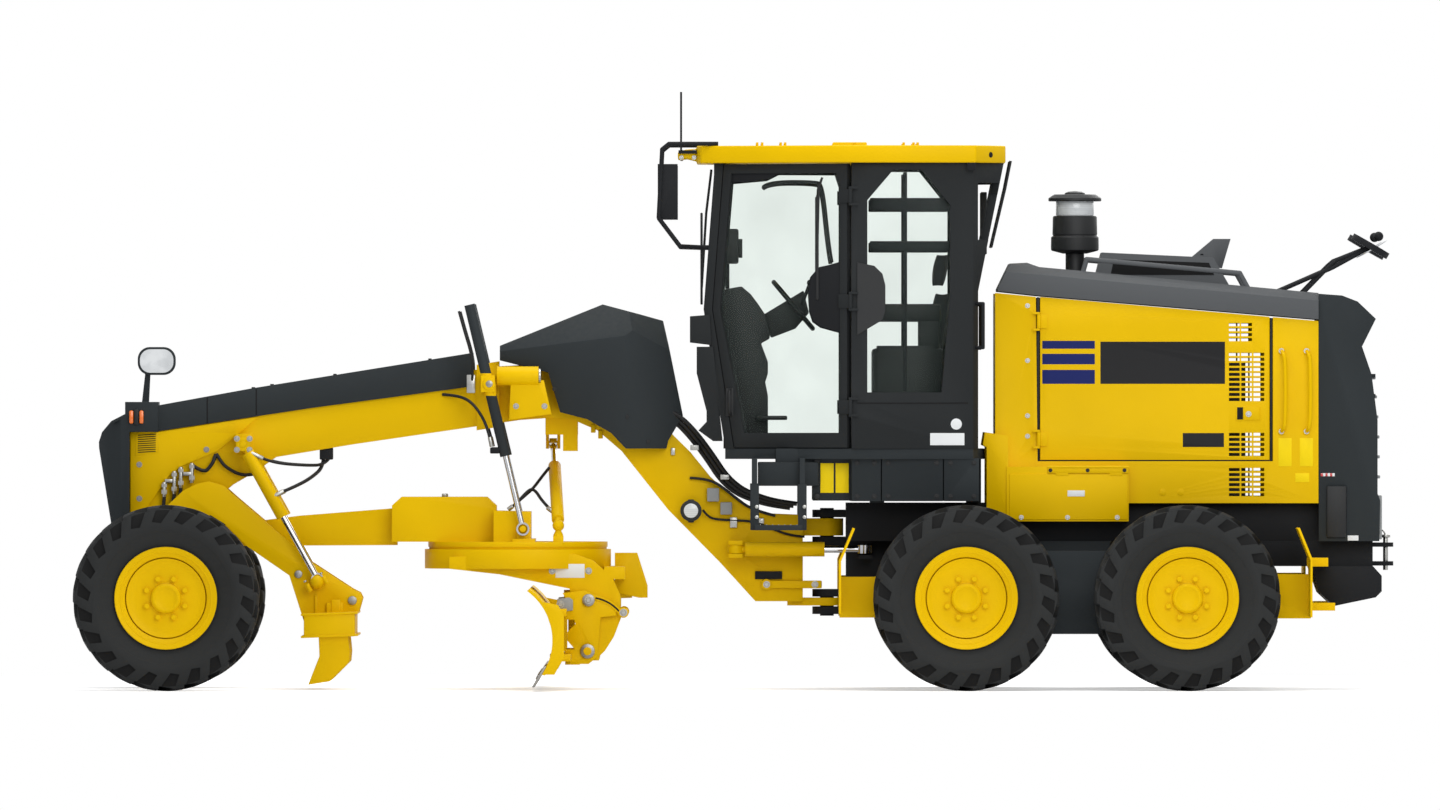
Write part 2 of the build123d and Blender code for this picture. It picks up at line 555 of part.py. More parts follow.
with BuildPart() as rear_frame:
    # Rails, and the members that stand between them with a seat's clearance
    blocks((640, REAR_END_X - END_PLATE - SEAT), (RAIL_INNER, RAIL_OUTER), (RAIL_BOTTOM, RAIL_TOP))
    inner = RAIL_INNER - SEAT
    for start, end in ((640, 760), (REAR_END_X - 125, REAR_END_X)):
        block((start, end), (-inner, inner), (RAIL_BOTTOM, RAIL_TOP))
    block((TANDEM_X - 60, TANDEM_X + 60), (-inner, inner), (RAIL_BOTTOM, RAIL_BOTTOM + 100))
    # Hinge post and its lugs
    slab([(640, 440), (640, 1080), (1100, 1080), (1100, 860), (760, 440)], -200, 200)
    for low, high in ((832, 884), (996, 1040), (536, 580), (435, 479)):
        block((PIVOT_X, 700), (-85, 85), (low, high))
        bar((PIVOT_X, 0, low), (PIVOT_X, 0, high), 85)
    bar((PIVOT_X, 0, 832), (PIVOT_X, 0, 1050), LUG_PIN_RADIUS)
    bar((PIVOT_X, 0, 425), (PIVOT_X, 0, 580), LUG_PIN_RADIUS)
    # Ears for the articulation cylinder rods
    for side in (-1, 1):
        near, far = sorted((side * 190, side * (ARTIC_Y + 45)))
        for low, high in ((ARTIC_Z - 58, ARTIC_Z - 34), (ARTIC_Z + 34, RAIL_BOTTOM - SEAT)):
            block((ARTIC_REAR_X - 35, ARTIC_REAR_X + 40), (near, far), (low, high))
        bar((ARTIC_REAR_X, side * ARTIC_Y, ARTIC_Z - 58), (ARTIC_REAR_X, side * ARTIC_Y, RAIL_BOTTOM - SEAT), 13)
    # Counterweight and lower rails
    blocks((REAR_END_X - 685, REAR_END_X), (RAIL_INNER, RAIL_OUTER), (715, RAIL_BOTTOM - SEAT))
    # Distance behind the rails' end, height
    weight = ((-360, 715), (0, 715), (50, 660), (50, 570), (15, 535), (-225, 485), (-305, 560))
    slab([(REAR_END_X + behind, z) for behind, z in weight], -480, 480)
    block((REAR_END_X - END_PLATE, REAR_END_X), (-RAIL_OUTER, RAIL_OUTER), (714, RAIL_TOP))
    # Hitch plates with the bore for a drop pin
    for low, high in ((825, 850), (716, 741)):
        block((REAR_END_X - 60, HITCH_X), (-90, 90), (low, high))
        bar((HITCH_X, 0, low), (HITCH_X, 0, high), HITCH_END_RADIUS)
        bar((HITCH_X, 0, low), (HITCH_X, 0, high), HITCH_BORE / 2, mode=Mode.SUBTRACT)
keep(rear_frame.part, "rear_frame")

with BuildPart() as tandem_cases:
    for start in (500, -690):
        with BuildSketch(Plane.XZ.offset(start)):
            with Locations((TANDEM_X, 565)):
                SlotCenterToCenter(TANDEM_SPACING, 480)
        extrude(amount=190)
    cross_pin(TANDEM_X, 600, 150, -520, 520)
    block((TANDEM_X - 200, TANDEM_X + 200), (-420, -280), (560, RAIL_BOTTOM))
    block((TANDEM_X - 200, TANDEM_X + 200), (280, 420), (560, RAIL_BOTTOM))
    for x in TANDEM_WHEEL_XS:
        for side in (-1, 1):
            cross_pin(x, WHEEL_Z, 95, side * 680, side * (WHEEL_Y - 68))
            cross_pin(x, WHEEL_Z, SPINDLE_RADIUS, side * 680, side * (WHEEL_Y + 92))
    # Guards at both ends, in line with the wheels
    blocks((600, 1110), (520, 680), (420, 655))
    slabs([(595, 445), (595, 750), (675, 940), (687, 934), (607, 747), (607, 445)], 520, 1100)
    blocks((2830, 3320), (520, 680), (415, 670))
    slabs([(3308, 425), (3308, 755), (3235, 935), (3247, 940), (3320, 760), (3320, 425)], 520, 1100)
    blocks((3300, 3420), (520, 700), (715, 765))
    blocks((3310, 3460), (520, 700), (460, 505))
keep(tandem_cases.part, "tandem_cases")

with BuildPart() as engine_block:
    block((1850, TAIL_X - 420), (-350, 350), (RAIL_TOP, 1900))
keep(engine_block.part, "engine_block")

# Hood

HOOD_TOP = [
    (1515, 2305), (1515, 2320), (1585, 2465), (1685, 2470), (1755, 2445), (TAIL_X, 2295), (TAIL_X, 2142),
    (1745, 2280),
]
TAIL_WALL = 45
GRILLE_BORDER = 90
GRILLE_BARS = 6

with BuildPart() as hood_cover:
    slab(HOOD_TOP, -HOOD_HALF_WIDTH - 15, HOOD_HALF_WIDTH + 15)
    edge = -HOOD_HALF_WIDTH - 15
    trim_both((1755, edge, 2400), (TAIL_X, edge, 2250), (1755, edge + 85, 2446))
    slab([(2085, 2390), (2120, 2530), (2765, 2500), (2875, 2310)], -300, 300)
    slab([(2615, 2480), (2770, 2610), (2870, 2610), (2820, 2440)], -80, 80)
    for side in (-1, 1):
        y = side * 440
        tube_run([(2005, y, 2400), (2030, y, 2490), (2915, y, 2410), (2970, y, 2310)], 14)
    # Tail with its grille
    # Distance behind the hood, height
    tail = (
        (0, 860), (0, 2290), (135, 2280), (225, 2245), (330, 2145), (250, 1985), (305, 1825),
        (340, 1560), (340, 1135), (TAIL_LENGTH, 1095), (TAIL_LENGTH - 5, 860),
    )
    slab([(TAIL_X + behind, z) for behind, z in tail], -HOOD_HALF_WIDTH, HOOD_HALF_WIDTH)
    inside = (-HOOD_HALF_WIDTH + TAIL_WALL, HOOD_HALF_WIDTH - TAIL_WALL)
    block((TAIL_X - 10, TAIL_X + 270), inside, (RAIL_TOP + 30, 2120), mode=Mode.SUBTRACT)
    block((TAIL_X - 10, TAIL_X + 320), inside, (850, RAIL_TOP), mode=Mode.SUBTRACT)
    window = (-HOOD_HALF_WIDTH + GRILLE_BORDER, HOOD_HALF_WIDTH - GRILLE_BORDER)
    block((TAIL_X + 220, TAIL_X + 390), window, (1150, 1880), mode=Mode.SUBTRACT)
    for row in range(GRILLE_BARS):
        z = 1225 + 116 * row
        block((TAIL_X + 250, TAIL_X + 330), (window[0] - 10, window[1] + 10), (z, z + 22))
keep(hood_cover.part, "hood_cover")

# Door hinges: the knuckle turns on a pin between two lugs
HINGE_PIN_RADIUS = 6
HINGE_RADIUS = 12
HINGE_HALF = 40
HOOD_HINGE_X = 1752
HOOD_HINGE_Y = 534
HOOD_HINGE_ZS = (1450, 2130)

HOOD_TOP_LINE = ((HOOD_DOOR_FRONT_X, 2272), (TAIL_X, 2132))


def hood_top(x):
    """Give the height of the hood cover's lower edge at x."""
    (x0, z0), (x1, z1) = HOOD_TOP_LINE
    return z0 + (z1 - z0) * (x - x0) / (x1 - x0)


# Vents of the door and of the panel under it: bottom, rows of slots, columns of slots
DOOR_VENTS = ((1352, 5, 3), (1670, 10, 3), (2016, 4, 2))
PANEL_VENTS = ((1120, 6, 3),)
SLOT_WIDTH = 62
SLOT_HEIGHT = 18
SLOT_PITCH_ACROSS = 71
SLOT_PITCH_UP = 29


def cut_vents(vents, start, end):
    """Cut slots through a side panel from one distance left of the middle to another."""
    vent_front = HOOD_DOOR_REAR_X - 234
    with BuildSketch(Plane.XZ.offset(start)) as slots:
        for bottom, rows, columns in vents:
            width = (columns - 1) * SLOT_PITCH_ACROSS + SLOT_WIDTH
            height = (rows - 1) * SLOT_PITCH_UP + SLOT_HEIGHT
            with Locations((vent_front + width / 2, bottom + height / 2)):
                with GridLocations(SLOT_PITCH_ACROSS, SLOT_PITCH_UP, columns, rows):
                    Rectangle(SLOT_WIDTH, SLOT_HEIGHT)
    extrude(slots.sketch, amount=end - start, mode=Mode.SUBTRACT)


with BuildPart() as hood_panels:
    front = [(1500, 1320), (1500, 2295), (1735, 2272), (1745, 1320)]
    rear_start = HOOD_DOOR_REAR_X + 20
    rear_end = TAIL_X - 2
    rear = [(rear_start, RAIL_TOP), (rear_start, hood_top(rear_start)), (rear_end, hood_top(rear_end)),
            (rear_end, RAIL_TOP)]
    inner = HOOD_HALF_WIDTH - HOOD_SHEET
    slabs(front, inner, HOOD_HALF_WIDTH)
    slabs(rear, inner, HOOD_HALF_WIDTH)
    blocks((1500, rear_start), (inner, HOOD_HALF_WIDTH), (RAIL_TOP, 1322))
    cut_vents(PANEL_VENTS, inner, HOOD_HALF_WIDTH)
    cut_vents(PANEL_VENTS, -HOOD_HALF_WIDTH, -inner)
    block((1500, 1540), (-inner - 5, inner + 5), (RAIL_TOP, 2280))
    # Wing ahead of the toolbox, behind the platform
    wing = [(1450, 975), (1450, 1405), (1428, 1415), (1440, 1490), (1575, 1470), (1575, 975)]
    slabs(wing, RAIL_OUTER, 590)
    blocks((1500, rear_end), (RAIL_OUTER - 40, inner + 5), (RAIL_TOP, RAIL_TOP + 30))
    # Toolbox outside the rails
    blocks((1565, 2270), (RAIL_OUTER, 600), (975, 1290))
    # Pins of the door hinges and the lugs that hold them
    for z in HOOD_HINGE_ZS:
        for low, high in ((z - HINGE_HALF - 14, z - HINGE_HALF - 1), (z + HINGE_HALF + 1, z + HINGE_HALF + 14)):
            blocks((1715, HOOD_HINGE_X + 6), (HOOD_HALF_WIDTH - 1, HOOD_HINGE_Y + 12), (low, high))
        for side in (-1, 1):
            bar((HOOD_HINGE_X, side * HOOD_HINGE_Y, z - HINGE_HALF - 14),
                (HOOD_HINGE_X, side * HOOD_HINGE_Y, z + HINGE_HALF + 14), HINGE_PIN_RADIUS)
keep(hood_panels.part, "hood_panels")


def make_hood_door(side, label):
    """Make the side door of the engine bay."""
    near, far = sorted((side * (HOOD_HALF_WIDTH - HOOD_SHEET), side * HOOD_HALF_WIDTH))
    door = [
        (HOOD_DOOR_FRONT_X, HOOD_DOOR_BOTTOM), (HOOD_DOOR_FRONT_X, hood_top(HOOD_DOOR_FRONT_X)),
        (HOOD_DOOR_REAR_X, hood_top(HOOD_DOOR_REAR_X)), (HOOD_DOOR_REAR_X, HOOD_DOOR_BOTTOM),
    ]
    leaf = sorted((side * (HOOD_HALF_WIDTH - 1), side * (HOOD_HINGE_Y - 4)))
    with BuildPart() as panel:
        slab(door, -far, -near)
        cut_vents(DOOR_VENTS, -far, -near)
        for z in HOOD_HINGE_ZS:
            block((HOOD_HINGE_X, HOOD_HINGE_X + 50), leaf, (z - HINGE_HALF, z + HINGE_HALF))
            low, high = ((HOOD_HINGE_X, side * HOOD_HINGE_Y, z + way * HINGE_HALF) for way in (-1, 1))
            bar(low, high, HINGE_RADIUS)
            bar(low, high, HINGE_PIN_RADIUS + RUNNING_GAP, mode=Mode.SUBTRACT)
    keep(panel.part, label)


make_hood_door(-1, "hood_door_left")
make_hood_door(1, "hood_door_right")

with BuildPart() as precleaner:
    # Height band: bottom, top, bottom radius, top radius
    bands = (
        (2400, 2540, 56, 56), (2540, 2625, 138, 138), (2625, 2745, 130, 128), (2745, 2830, 110, 110),
        (2830, 2868, 155, 120), (2868, 2888, 60, 20),
    )
    for low, high, low_radius, high_radius in bands:
        with Locations((1968, 0, (low + high) / 2)):
            if low_radius == high_radius:
                Cylinder(low_radius, high - low)
            else:
                Cone(low_radius, high_radius, high - low)
    slab(HOOD_TOP, -HOOD_HALF_WIDTH, HOOD_HALF_WIDTH, mode=Mode.SUBTRACT)
keep(precleaner.part, "precleaner")

# Platform under the cab, with side boxes and ladders

with BuildPart() as cab_platform:
    plan = [
        (-60, -455), (640, -790), (1370, -745), (1440, -500), (1440, 500), (1370, 745), (640, 790), (-60, 455),
    ]
    extrude(outline(plan, Plane.XY.offset(1335)), amount=CAB_FLOOR_Z - 1335)
    blocks((780, 860), (RAIL_INNER, RAIL_OUTER), (RAIL_TOP, 1340))
    blocks((1340, 1420), (RAIL_INNER, RAIL_OUTER), (RAIL_TOP, 1340))
    for start, end in ((670, 838), (844, 1196), (1202, 1405)):
        blocks((start, end), (RAIL_OUTER + 20, 740), (1092, 1340))
    blocks((660, 1405), (RAIL_OUTER, RAIL_OUTER + 30), (1092, 1340))
    blocks((445, 668), (650, 662), (1095, 1340))
    for x in (110, 385):
        blocks((x - 15, x + 15), (480, 760), (1290, 1340))
        blocks((x - 15, x + 15), (730, 760), (1135, 1300))
        blocks((x - 25, x + 25), (745, 775), (925, 1190))
    blocks((110, 385), (740, 900), (925, 955))
keep(cab_platform.part, "cab_platform")

# Cab

DOOR_A = (DOOR_FRONT_X, -DOOR_FRONT_Y)
DOOR_B = (DOOR_HINGE_X, -DOOR_HINGE_Y)
SIDE_A = (670, -DOOR_HINGE_Y)
SIDE_B = (CAB_SIDE_REAR_X, -CAB_SIDE_REAR_Y)
REAR_A = (CAB_SIDE_REAR_X, -CAB_SIDE_REAR_Y)
REAR_B = (CAB_REAR_X, -CAB_REAR_Y)
DOOR_RUN = hypot(DOOR_B[0] - DOOR_A[0], DOOR_B[1] - DOOR_A[1])
DOOR_LEAN = (DOOR_B[0] - DOOR_A[0]) / DOOR_RUN
DOOR_SLOPE = (DOOR_HINGE_Y - DOOR_FRONT_Y) / (DOOR_HINGE_X - DOOR_FRONT_X)
PILLAR = 48


def door_s(x):
    """Give the distance along the door plane of a place at x in the side view."""
    return (x - DOOR_FRONT_X) / DOOR_LEAN


# Front edge of the cab in the side view, from the floor up
CAB_FRONT_EDGE = ((-60, CAB_FLOOR_Z), (-185, CAB_KNEE_Z), (-120, CAB_ROOF_Z))

# Cab door hinges: places up the pin line
DOOR_PIN_X = 662
DOOR_PIN_Y = 812
DOOR_HINGE_ZS = (CAB_FLOOR_Z + 240, (CAB_FLOOR_Z + CAB_ROOF_Z) / 2 + 25, CAB_ROOF_Z - 192)
LUG_THICK = 14


def front_pillar(mode=Mode.ADD):
    """Add the near front pillar, ahead of the cab door."""
    rising = [(door_s(x), z) for x, z in CAB_FRONT_EDGE]
    falling = [(door_s(x + PILLAR), z) for x, z in reversed(CAB_FRONT_EDGE)]
    extrude(outline(rising + falling, upright_plane(DOOR_A, DOOR_B)), amount=-CAB_WALL, mode=mode)


# Rear side window: distance behind the hinge pillar, height
SIDE_WINDOW = (
    (90, CAB_FLOOR_Z + 325), (90, CAB_ROOF_Z - 215), (240, CAB_ROOF_Z - 40), (405, CAB_ROOF_Z - 40),
    (570, CAB_ROOF_Z - 245), (570, CAB_ROOF_Z - 765), (520, CAB_FLOOR_Z + 325),
)
REAR_WINDOW_TOP = CAB_ROOF_Z - 115
REAR_WINDOW_BOTTOM = CAB_FLOOR_Z + 355

with BuildPart() as cab_shell:
    front_pillar()
    # Rear side panel with its window
    side_run = hypot(SIDE_B[0] - SIDE_A[0], SIDE_B[1] - SIDE_A[1])
    with BuildSketch(upright_plane(SIDE_A, SIDE_B)):
        with BuildLine():
            Polyline((0, CAB_FLOOR_Z), (0, CAB_ROOF_Z), (side_run, CAB_ROOF_Z), (side_run, CAB_FLOOR_Z),
                     close=True)
        make_face()
        with BuildLine():
            Polyline(*SIDE_WINDOW, close=True)
        make_face(mode=Mode.SUBTRACT)
    extrude(amount=-CAB_WALL)
    # Rear corner panel, under the roof only as deep as the bent rear wall
    rear_run = hypot(REAR_B[0] - REAR_A[0], REAR_B[1] - REAR_A[1])
    waist_run = rear_run * (CAB_WAIST_X - CAB_SIDE_REAR_X) / (CAB_REAR_X - CAB_SIDE_REAR_X)
    with BuildSketch(upright_plane(REAR_A, REAR_B)):
        with BuildLine():
            Polyline((0, CAB_FLOOR_Z), (0, CAB_ROOF_Z), (rear_run, CAB_ROOF_Z), (waist_run, CAB_WAIST_Z),
                     (waist_run, CAB_FLOOR_Z), close=True)
        make_face()
        with BuildLine():
            Polyline((50, REAR_WINDOW_TOP - 330), (50, REAR_WINDOW_TOP), (rear_run - 50, REAR_WINDOW_TOP),
                     (rear_run - 110, REAR_WINDOW_TOP - 330), close=True)
        make_face(mode=Mode.SUBTRACT)
    extrude(amount=-CAB_WALL)
    mirror(about=Plane.XZ)
    # Rear wall, bent at the waist, with its window
    half_waist = CAB_SIDE_REAR_Y - (CAB_SIDE_REAR_Y - CAB_REAR_Y) * waist_run / rear_run
    slab([(CAB_WAIST_X, CAB_FLOOR_Z), (CAB_WAIST_X, CAB_WAIST_Z), (CAB_REAR_X, CAB_ROOF_Z),
          (CAB_REAR_X - CAB_WALL, CAB_ROOF_Z), (CAB_WAIST_X - CAB_WALL, CAB_WAIST_Z),
          (CAB_WAIST_X - CAB_WALL, CAB_FLOOR_Z)], -CAB_REAR_Y, CAB_REAR_Y)
    blocks((CAB_WAIST_X - CAB_WALL, CAB_WAIST_X), (CAB_REAR_Y - 1, half_waist - 20), (CAB_FLOOR_Z, CAB_WAIST_Z))
    block((CAB_WAIST_X - 100, CAB_REAR_X + 50), (-CAB_REAR_Y + 80, CAB_REAR_Y - 80),
          (REAR_WINDOW_BOTTOM, REAR_WINDOW_TOP), mode=Mode.SUBTRACT)
    # Front frame over, under and across
    for x_front, low, high in ((-70, CAB_FLOOR_Z, CAB_FLOOR_Z + 60), (-125, CAB_ROOF_Z - 60, CAB_ROOF_Z)):
        block((x_front, x_front + 50), (-DOOR_FRONT_Y, DOOR_FRONT_Y), (low, high))
    # Fairings at the front corners, hollowed where the gooseneck cover swings past
    lower = [
        (-215, 1500), (-168, 1550), (-168, 1612), (-225, 1830), (-225, 1984), (-130, 1984), (-75, 1438), (-130, 1438),
    ]
    slabs(lower, 388, 434)
    slabs([(-264, 2010), (-264, 2160), (-150, 2169), (-140, 1995)], 388, 425)
    # Sill along the doors and floor
    floor = [
        (-50, -400), (640, -745), (1350, -700), (1390, -640), (1390, 640), (1350, 700), (640, 745), (-50, 400),
    ]
    extrude(outline(floor, Plane.XY.offset(CAB_FLOOR_Z)), amount=30)
    # Pins of the door hinges and the lugs that hold them
    for z in DOOR_HINGE_ZS:
        for low in (z - HINGE_HALF - LUG_THICK - 1, z + HINGE_HALF + 1):
            lug_y = (DOOR_HINGE_Y - 4, DOOR_PIN_Y + 10)
            blocks((DOOR_PIN_X - 10, DOOR_PIN_X + 45), lug_y, (low, low + LUG_THICK))
        for side in (-1, 1):
            bar((DOOR_PIN_X, side * DOOR_PIN_Y, z - HINGE_HALF - LUG_THICK),
                (DOOR_PIN_X, side * DOOR_PIN_Y, z + HINGE_HALF + LUG_THICK), HINGE_PIN_RADIUS)
keep(cab_shell.part, "cab_shell")

with BuildPart() as cab_roof:
    roof_plan = [
        (-225, -430), (-200, -480), (650, -850), (1385, -800), (1560, -520), (1560, 520), (1385, 800),
        (650, 850), (-200, 480), (-225, 430),
    ]
    extrude(outline(roof_plan, Plane.XY.offset(CAB_ROOF_Z)), amount=ROOF_THICK)
    block((560, 760), (-400, 400), (ROOF_TOP_Z - 5, ROOF_TOP_Z + 22))
    # Lamp brackets ahead of the roof: distance from the front, height over the eaves
    bracket = ((-334, 25), (-334, 65), (-290, 79), (-215, 85), (-215, 15), (-280, 30))
    slabs([(x, CAB_ROOF_Z + rise) for x, rise in bracket], 380, 412)
keep(cab_roof.part, "cab_roof")

with BuildPart() as cab_glass:
    # Front glass follows the bent edge
    slab([(-58, CAB_FLOOR_Z + 62), (-172, CAB_KNEE_Z), (-112, CAB_ROOF_Z - 62), (-104, CAB_ROOF_Z - 62),
          (-164, CAB_KNEE_Z), (-50, CAB_FLOOR_Z + 62)], -500, 500)
    inner_face = DOOR_FRONT_Y - CAB_WALL / DOOR_LEAN - 0.5
    inside = [(x, inner_face + (x - DOOR_FRONT_X) * DOOR_SLOPE) for x in (-300, 100)]
    inside += [(x, -y) for x, y in reversed(inside)]
    extrude(outline(inside, Plane.XY.offset(1000)), amount=2500, mode=Mode.INTERSECT)
    waist = CAB_WAIST_X - 20
    glass_top = REAR_WINDOW_TOP - 1
    glass_foot = REAR_WINDOW_BOTTOM + 1
    top = waist + (glass_top - CAB_WAIST_Z) * (CAB_REAR_X - CAB_WAIST_X) / (CAB_ROOF_Z - CAB_WAIST_Z)
    slab([(waist, glass_foot), (waist, CAB_WAIST_Z), (top, glass_top), (top - 8, glass_top),
          (waist - 8, CAB_WAIST_Z), (waist - 8, glass_foot)], -CAB_REAR_Y + 80.5, CAB_REAR_Y - 80.5)
    with BuildSketch(upright_plane(SIDE_A, SIDE_B).offset(-20)):
        with BuildLine():
            Polyline(*SIDE_WINDOW, close=True)
        make_face()
        offset(amount=-0.5, mode=Mode.REPLACE)
    extrude(amount=-8)
    mirror(about=Plane.XZ)
keep(cab_glass.part, "cab_glass")


def make_door(side, label):
    """Make a cab door frame with its window cut, and its glass."""
    front = [(door_s(x + PILLAR) + PANEL_GAP, z) for x, z in CAB_FRONT_EDGE]
    low_front, knee, top_front = front
    end = DOOR_RUN - PANEL_GAP
    face = upright_plane(DOOR_A, DOOR_B)
    window = [
        (low_front[0] + 60, CAB_FLOOR_Z + 90), (knee[0] + 45, knee[1]), (top_front[0] + 45, CAB_ROOF_Z - 60),
        (end - 70, CAB_ROOF_Z - 60), (end - 45, CAB_ROOF_Z - 130), (end - 45, CAB_FLOOR_Z + 90),
    ]
    frame = [
        (low_front[0], CAB_FLOOR_Z + PANEL_GAP), knee, (top_front[0], CAB_ROOF_Z - PANEL_GAP),
        (end, CAB_ROOF_Z - PANEL_GAP), (end, CAB_FLOOR_Z + PANEL_GAP),
    ]
    with BuildPart() as door:
        extrude(outline(frame, face), amount=-CAB_WALL)
        extrude(outline(window, face), amount=-CAB_WALL, mode=Mode.SUBTRACT)
        for z in DOOR_HINGE_ZS:
            corners = ((end - 50, -1), (end + 20, -1), (end + 20, 1), (end - 50, 1))
            leaf = [(s, z + way * HINGE_HALF) for s, way in corners]
            extrude(outline(leaf, face.offset(-1)), amount=9)
            low, high = ((DOOR_PIN_X, -DOOR_PIN_Y, z + way * HINGE_HALF) for way in (-1, 1))
            bar(low, high, HINGE_RADIUS)
            bar(low, high, HINGE_PIN_RADIUS + RUNNING_GAP, mode=Mode.SUBTRACT)
    with BuildPart() as glass:
        with BuildSketch(face.offset(-18)):
            with BuildLine():
                Polyline(*window, close=True)
            make_face()
            offset(amount=-0.5, mode=Mode.REPLACE)
        extrude(amount=-8)
    if side > 0:
        keep(door.part.mirror(Plane.XZ), f"cab_door_{label}")
        keep(glass.part.mirror(Plane.XZ), f"door_glass_{label}")
    else:
        keep(door.part, f"cab_door_{label}")
        keep(glass.part, f"door_glass_{label}")


make_door(-1, "left")
make_door(1, "right")

FLOOR_TOP = CAB_FLOOR_Z + 30
with BuildPart() as seat:
    slab([(850, 1790), (840, 1850), (900, 1905), (1080, 1885), (1200, 1900), (1200, 1790)], -240, 240)
    back = [
        (1080, 1860), (1120, 2200), (1160, 2330), (1185, 2520), (1250, 2530), (1250, 2330), (1200, 2180),
        (1195, 1860),
    ]
    slab(back, -225, 225)
    slab([(940, FLOOR_TOP), (960, 1500), (920, 1795), (1160, 1795), (1120, 1500), (1140, FLOOR_TOP)], -150, 150)
keep(seat.part, "seat")

with BuildPart() as controls:
    console = [
        (-10, FLOOR_TOP), (-10, 1460), (-100, 2000), (-70, 2310), (20, 2330), (110, 2100), (188, 1700),
        (188, FLOOR_TOP),
    ]
    slab(console, -140, 140)
    bar((60, 0, 2060), (330, 0, 2222), 30)
    with Locations(Location((335, 0, 2225), (0, 50, 0))):
        Torus(175, 14)
        Cylinder(40, 30)
        for turn in (0, 120, 240):
            with Locations(Location((0, 0, 0), (0, 0, turn))):
                Box(165, 26, 12, align=(Align.MIN, Align.CENTER, Align.CENTER))
    for side in (-1, 1):
        block((820, 1150), (side * 330 - 40, side * 330 + 40), (FLOOR_TOP, 1990))
keep(controls.part, "controls")

MIRROR_Y = 500
with BuildPart() as mirrors_and_rails:
    # Near side: front mirror on its arms, rear mirror and grab handle
    y = -MIRROR_Y
    arm_z = CAB_ROOF_Z - 485
    over_z = ROOF_TOP_Z + 12
    tube_run([(-140, -400, arm_z), (-200, -366, arm_z), (-320, y, arm_z + 5), (-445, y, arm_z + 170),
              (-425, y, over_z - 32), (-385, y, over_z), (-100, y, over_z)], 12)
    block((-450, -335), (y + 10, y + 38), (arm_z + 165, arm_z + 480))
    rear_y = -430
    tube_run([(TAIL_X - 240, rear_y, 2300), (TAIL_X + 80, rear_y, 2440), (TAIL_X + 300, rear_y, 2560)], 12)
    with Locations(Location((TAIL_X + 300, rear_y, 2565), (0, 30, 0))):
        Cylinder(118, 36)
    tube_run([(1388, -725.5, 1978), (1428, -754, 1978), (1428, -754, 2232), (1388, -725.5, 2232)], 10)
    front_pillar(Mode.SUBTRACT)
    mirror(about=Plane.XZ)
    slab(HOOD_TOP, -HOOD_HALF_WIDTH, HOOD_HALF_WIDTH, mode=Mode.SUBTRACT)
    bar((-315, -430, CAB_ROOF_Z + 65), (-315, -430, CAB_ROOF_Z + 412), 6)
    block((-330, -225.5), (-442, -418), (CAB_ROOF_Z + 55, CAB_ROOF_Z + 75))
keep(mirrors_and_rails.part, "mirrors_and_rails")

# Drawbar

with BuildPart() as drawbar:
    slab([(DRAWBAR_PIN_X, 830), (DRAWBAR_PIN_X, 930), (-2530, 1005), (-1960, 1050), (-1960, 835), (-2530, 830)],
         -88, 88)
    blocks((DRAWBAR_PIN_X - 60, DRAWBAR_PIN_X + 100), (48, 90), (800, 970), mode=Mode.SUBTRACT)
    cross_pin(DRAWBAR_PIN_X, DRAWBAR_PIN_Z, 50, -48, 48)
    cross_pin(DRAWBAR_PIN_X, DRAWBAR_PIN_Z, 30 + RUNNING_GAP, -60, 60, mode=Mode.SUBTRACT)
    # Box over the circle with chamfered shoulders
    slab([(-1990, 855), (-1990, 1065), (-1935, 1115), (-1440, 1115), (-1385, 1065), (-1385, 855)], -210, 210)
    slab([(-1400, 845), (-1400, 1035), (-1185, 1030), (-1185, 845)], -340, 340)
    # Yoke plate that covers the circle
    with BuildSketch(Plane.XY.offset(825)):
        with Locations((CIRCLE_X, 0)):
            Circle(CIRCLE_RADIUS - 20)
            Circle(CIRCLE_BORE - 140, mode=Mode.SUBTRACT)
    extrude(amount=30)
    # Wear pads that the circle turns against
    with BuildSketch(Plane.XY.offset(CIRCLE_TOP + RUNNING_GAP)):
        with Locations((CIRCLE_X, 0)):
            Circle(CIRCLE_RADIUS - 25)
            Circle(CIRCLE_BORE + 5, mode=Mode.SUBTRACT)
    extrude(amount=826 - CIRCLE_TOP - RUNNING_GAP)
    # Cross beam with the lift pins
    block((-1290, -1160), (-LIFT_Y - 60, LIFT_Y + 60), (845, 872))
    for side in (-1, 1):
        near, far = sorted((side * (LIFT_Y - 62), side * (LIFT_Y - 24)))
        block((LIFT_BALL_X - 35, LIFT_BALL_X + 35), (near, far), (870, LIFT_BALL_Z + 40))
        cross_pin(LIFT_BALL_X, LIFT_BALL_Z, 18, side * (LIFT_Y - 62), side * (LIFT_Y + 18))
    # Post for the foot of the centre shift cylinder
    block((SHIFT_FOOT[0] - 30, SHIFT_FOOT[0] + 30), (SHIFT_FOOT[1] - 30, SHIFT_FOOT[1] + 30), (850, 890))
keep(drawbar.part, "drawbar")

# Circle with its internal gear and the arms that carry the blade

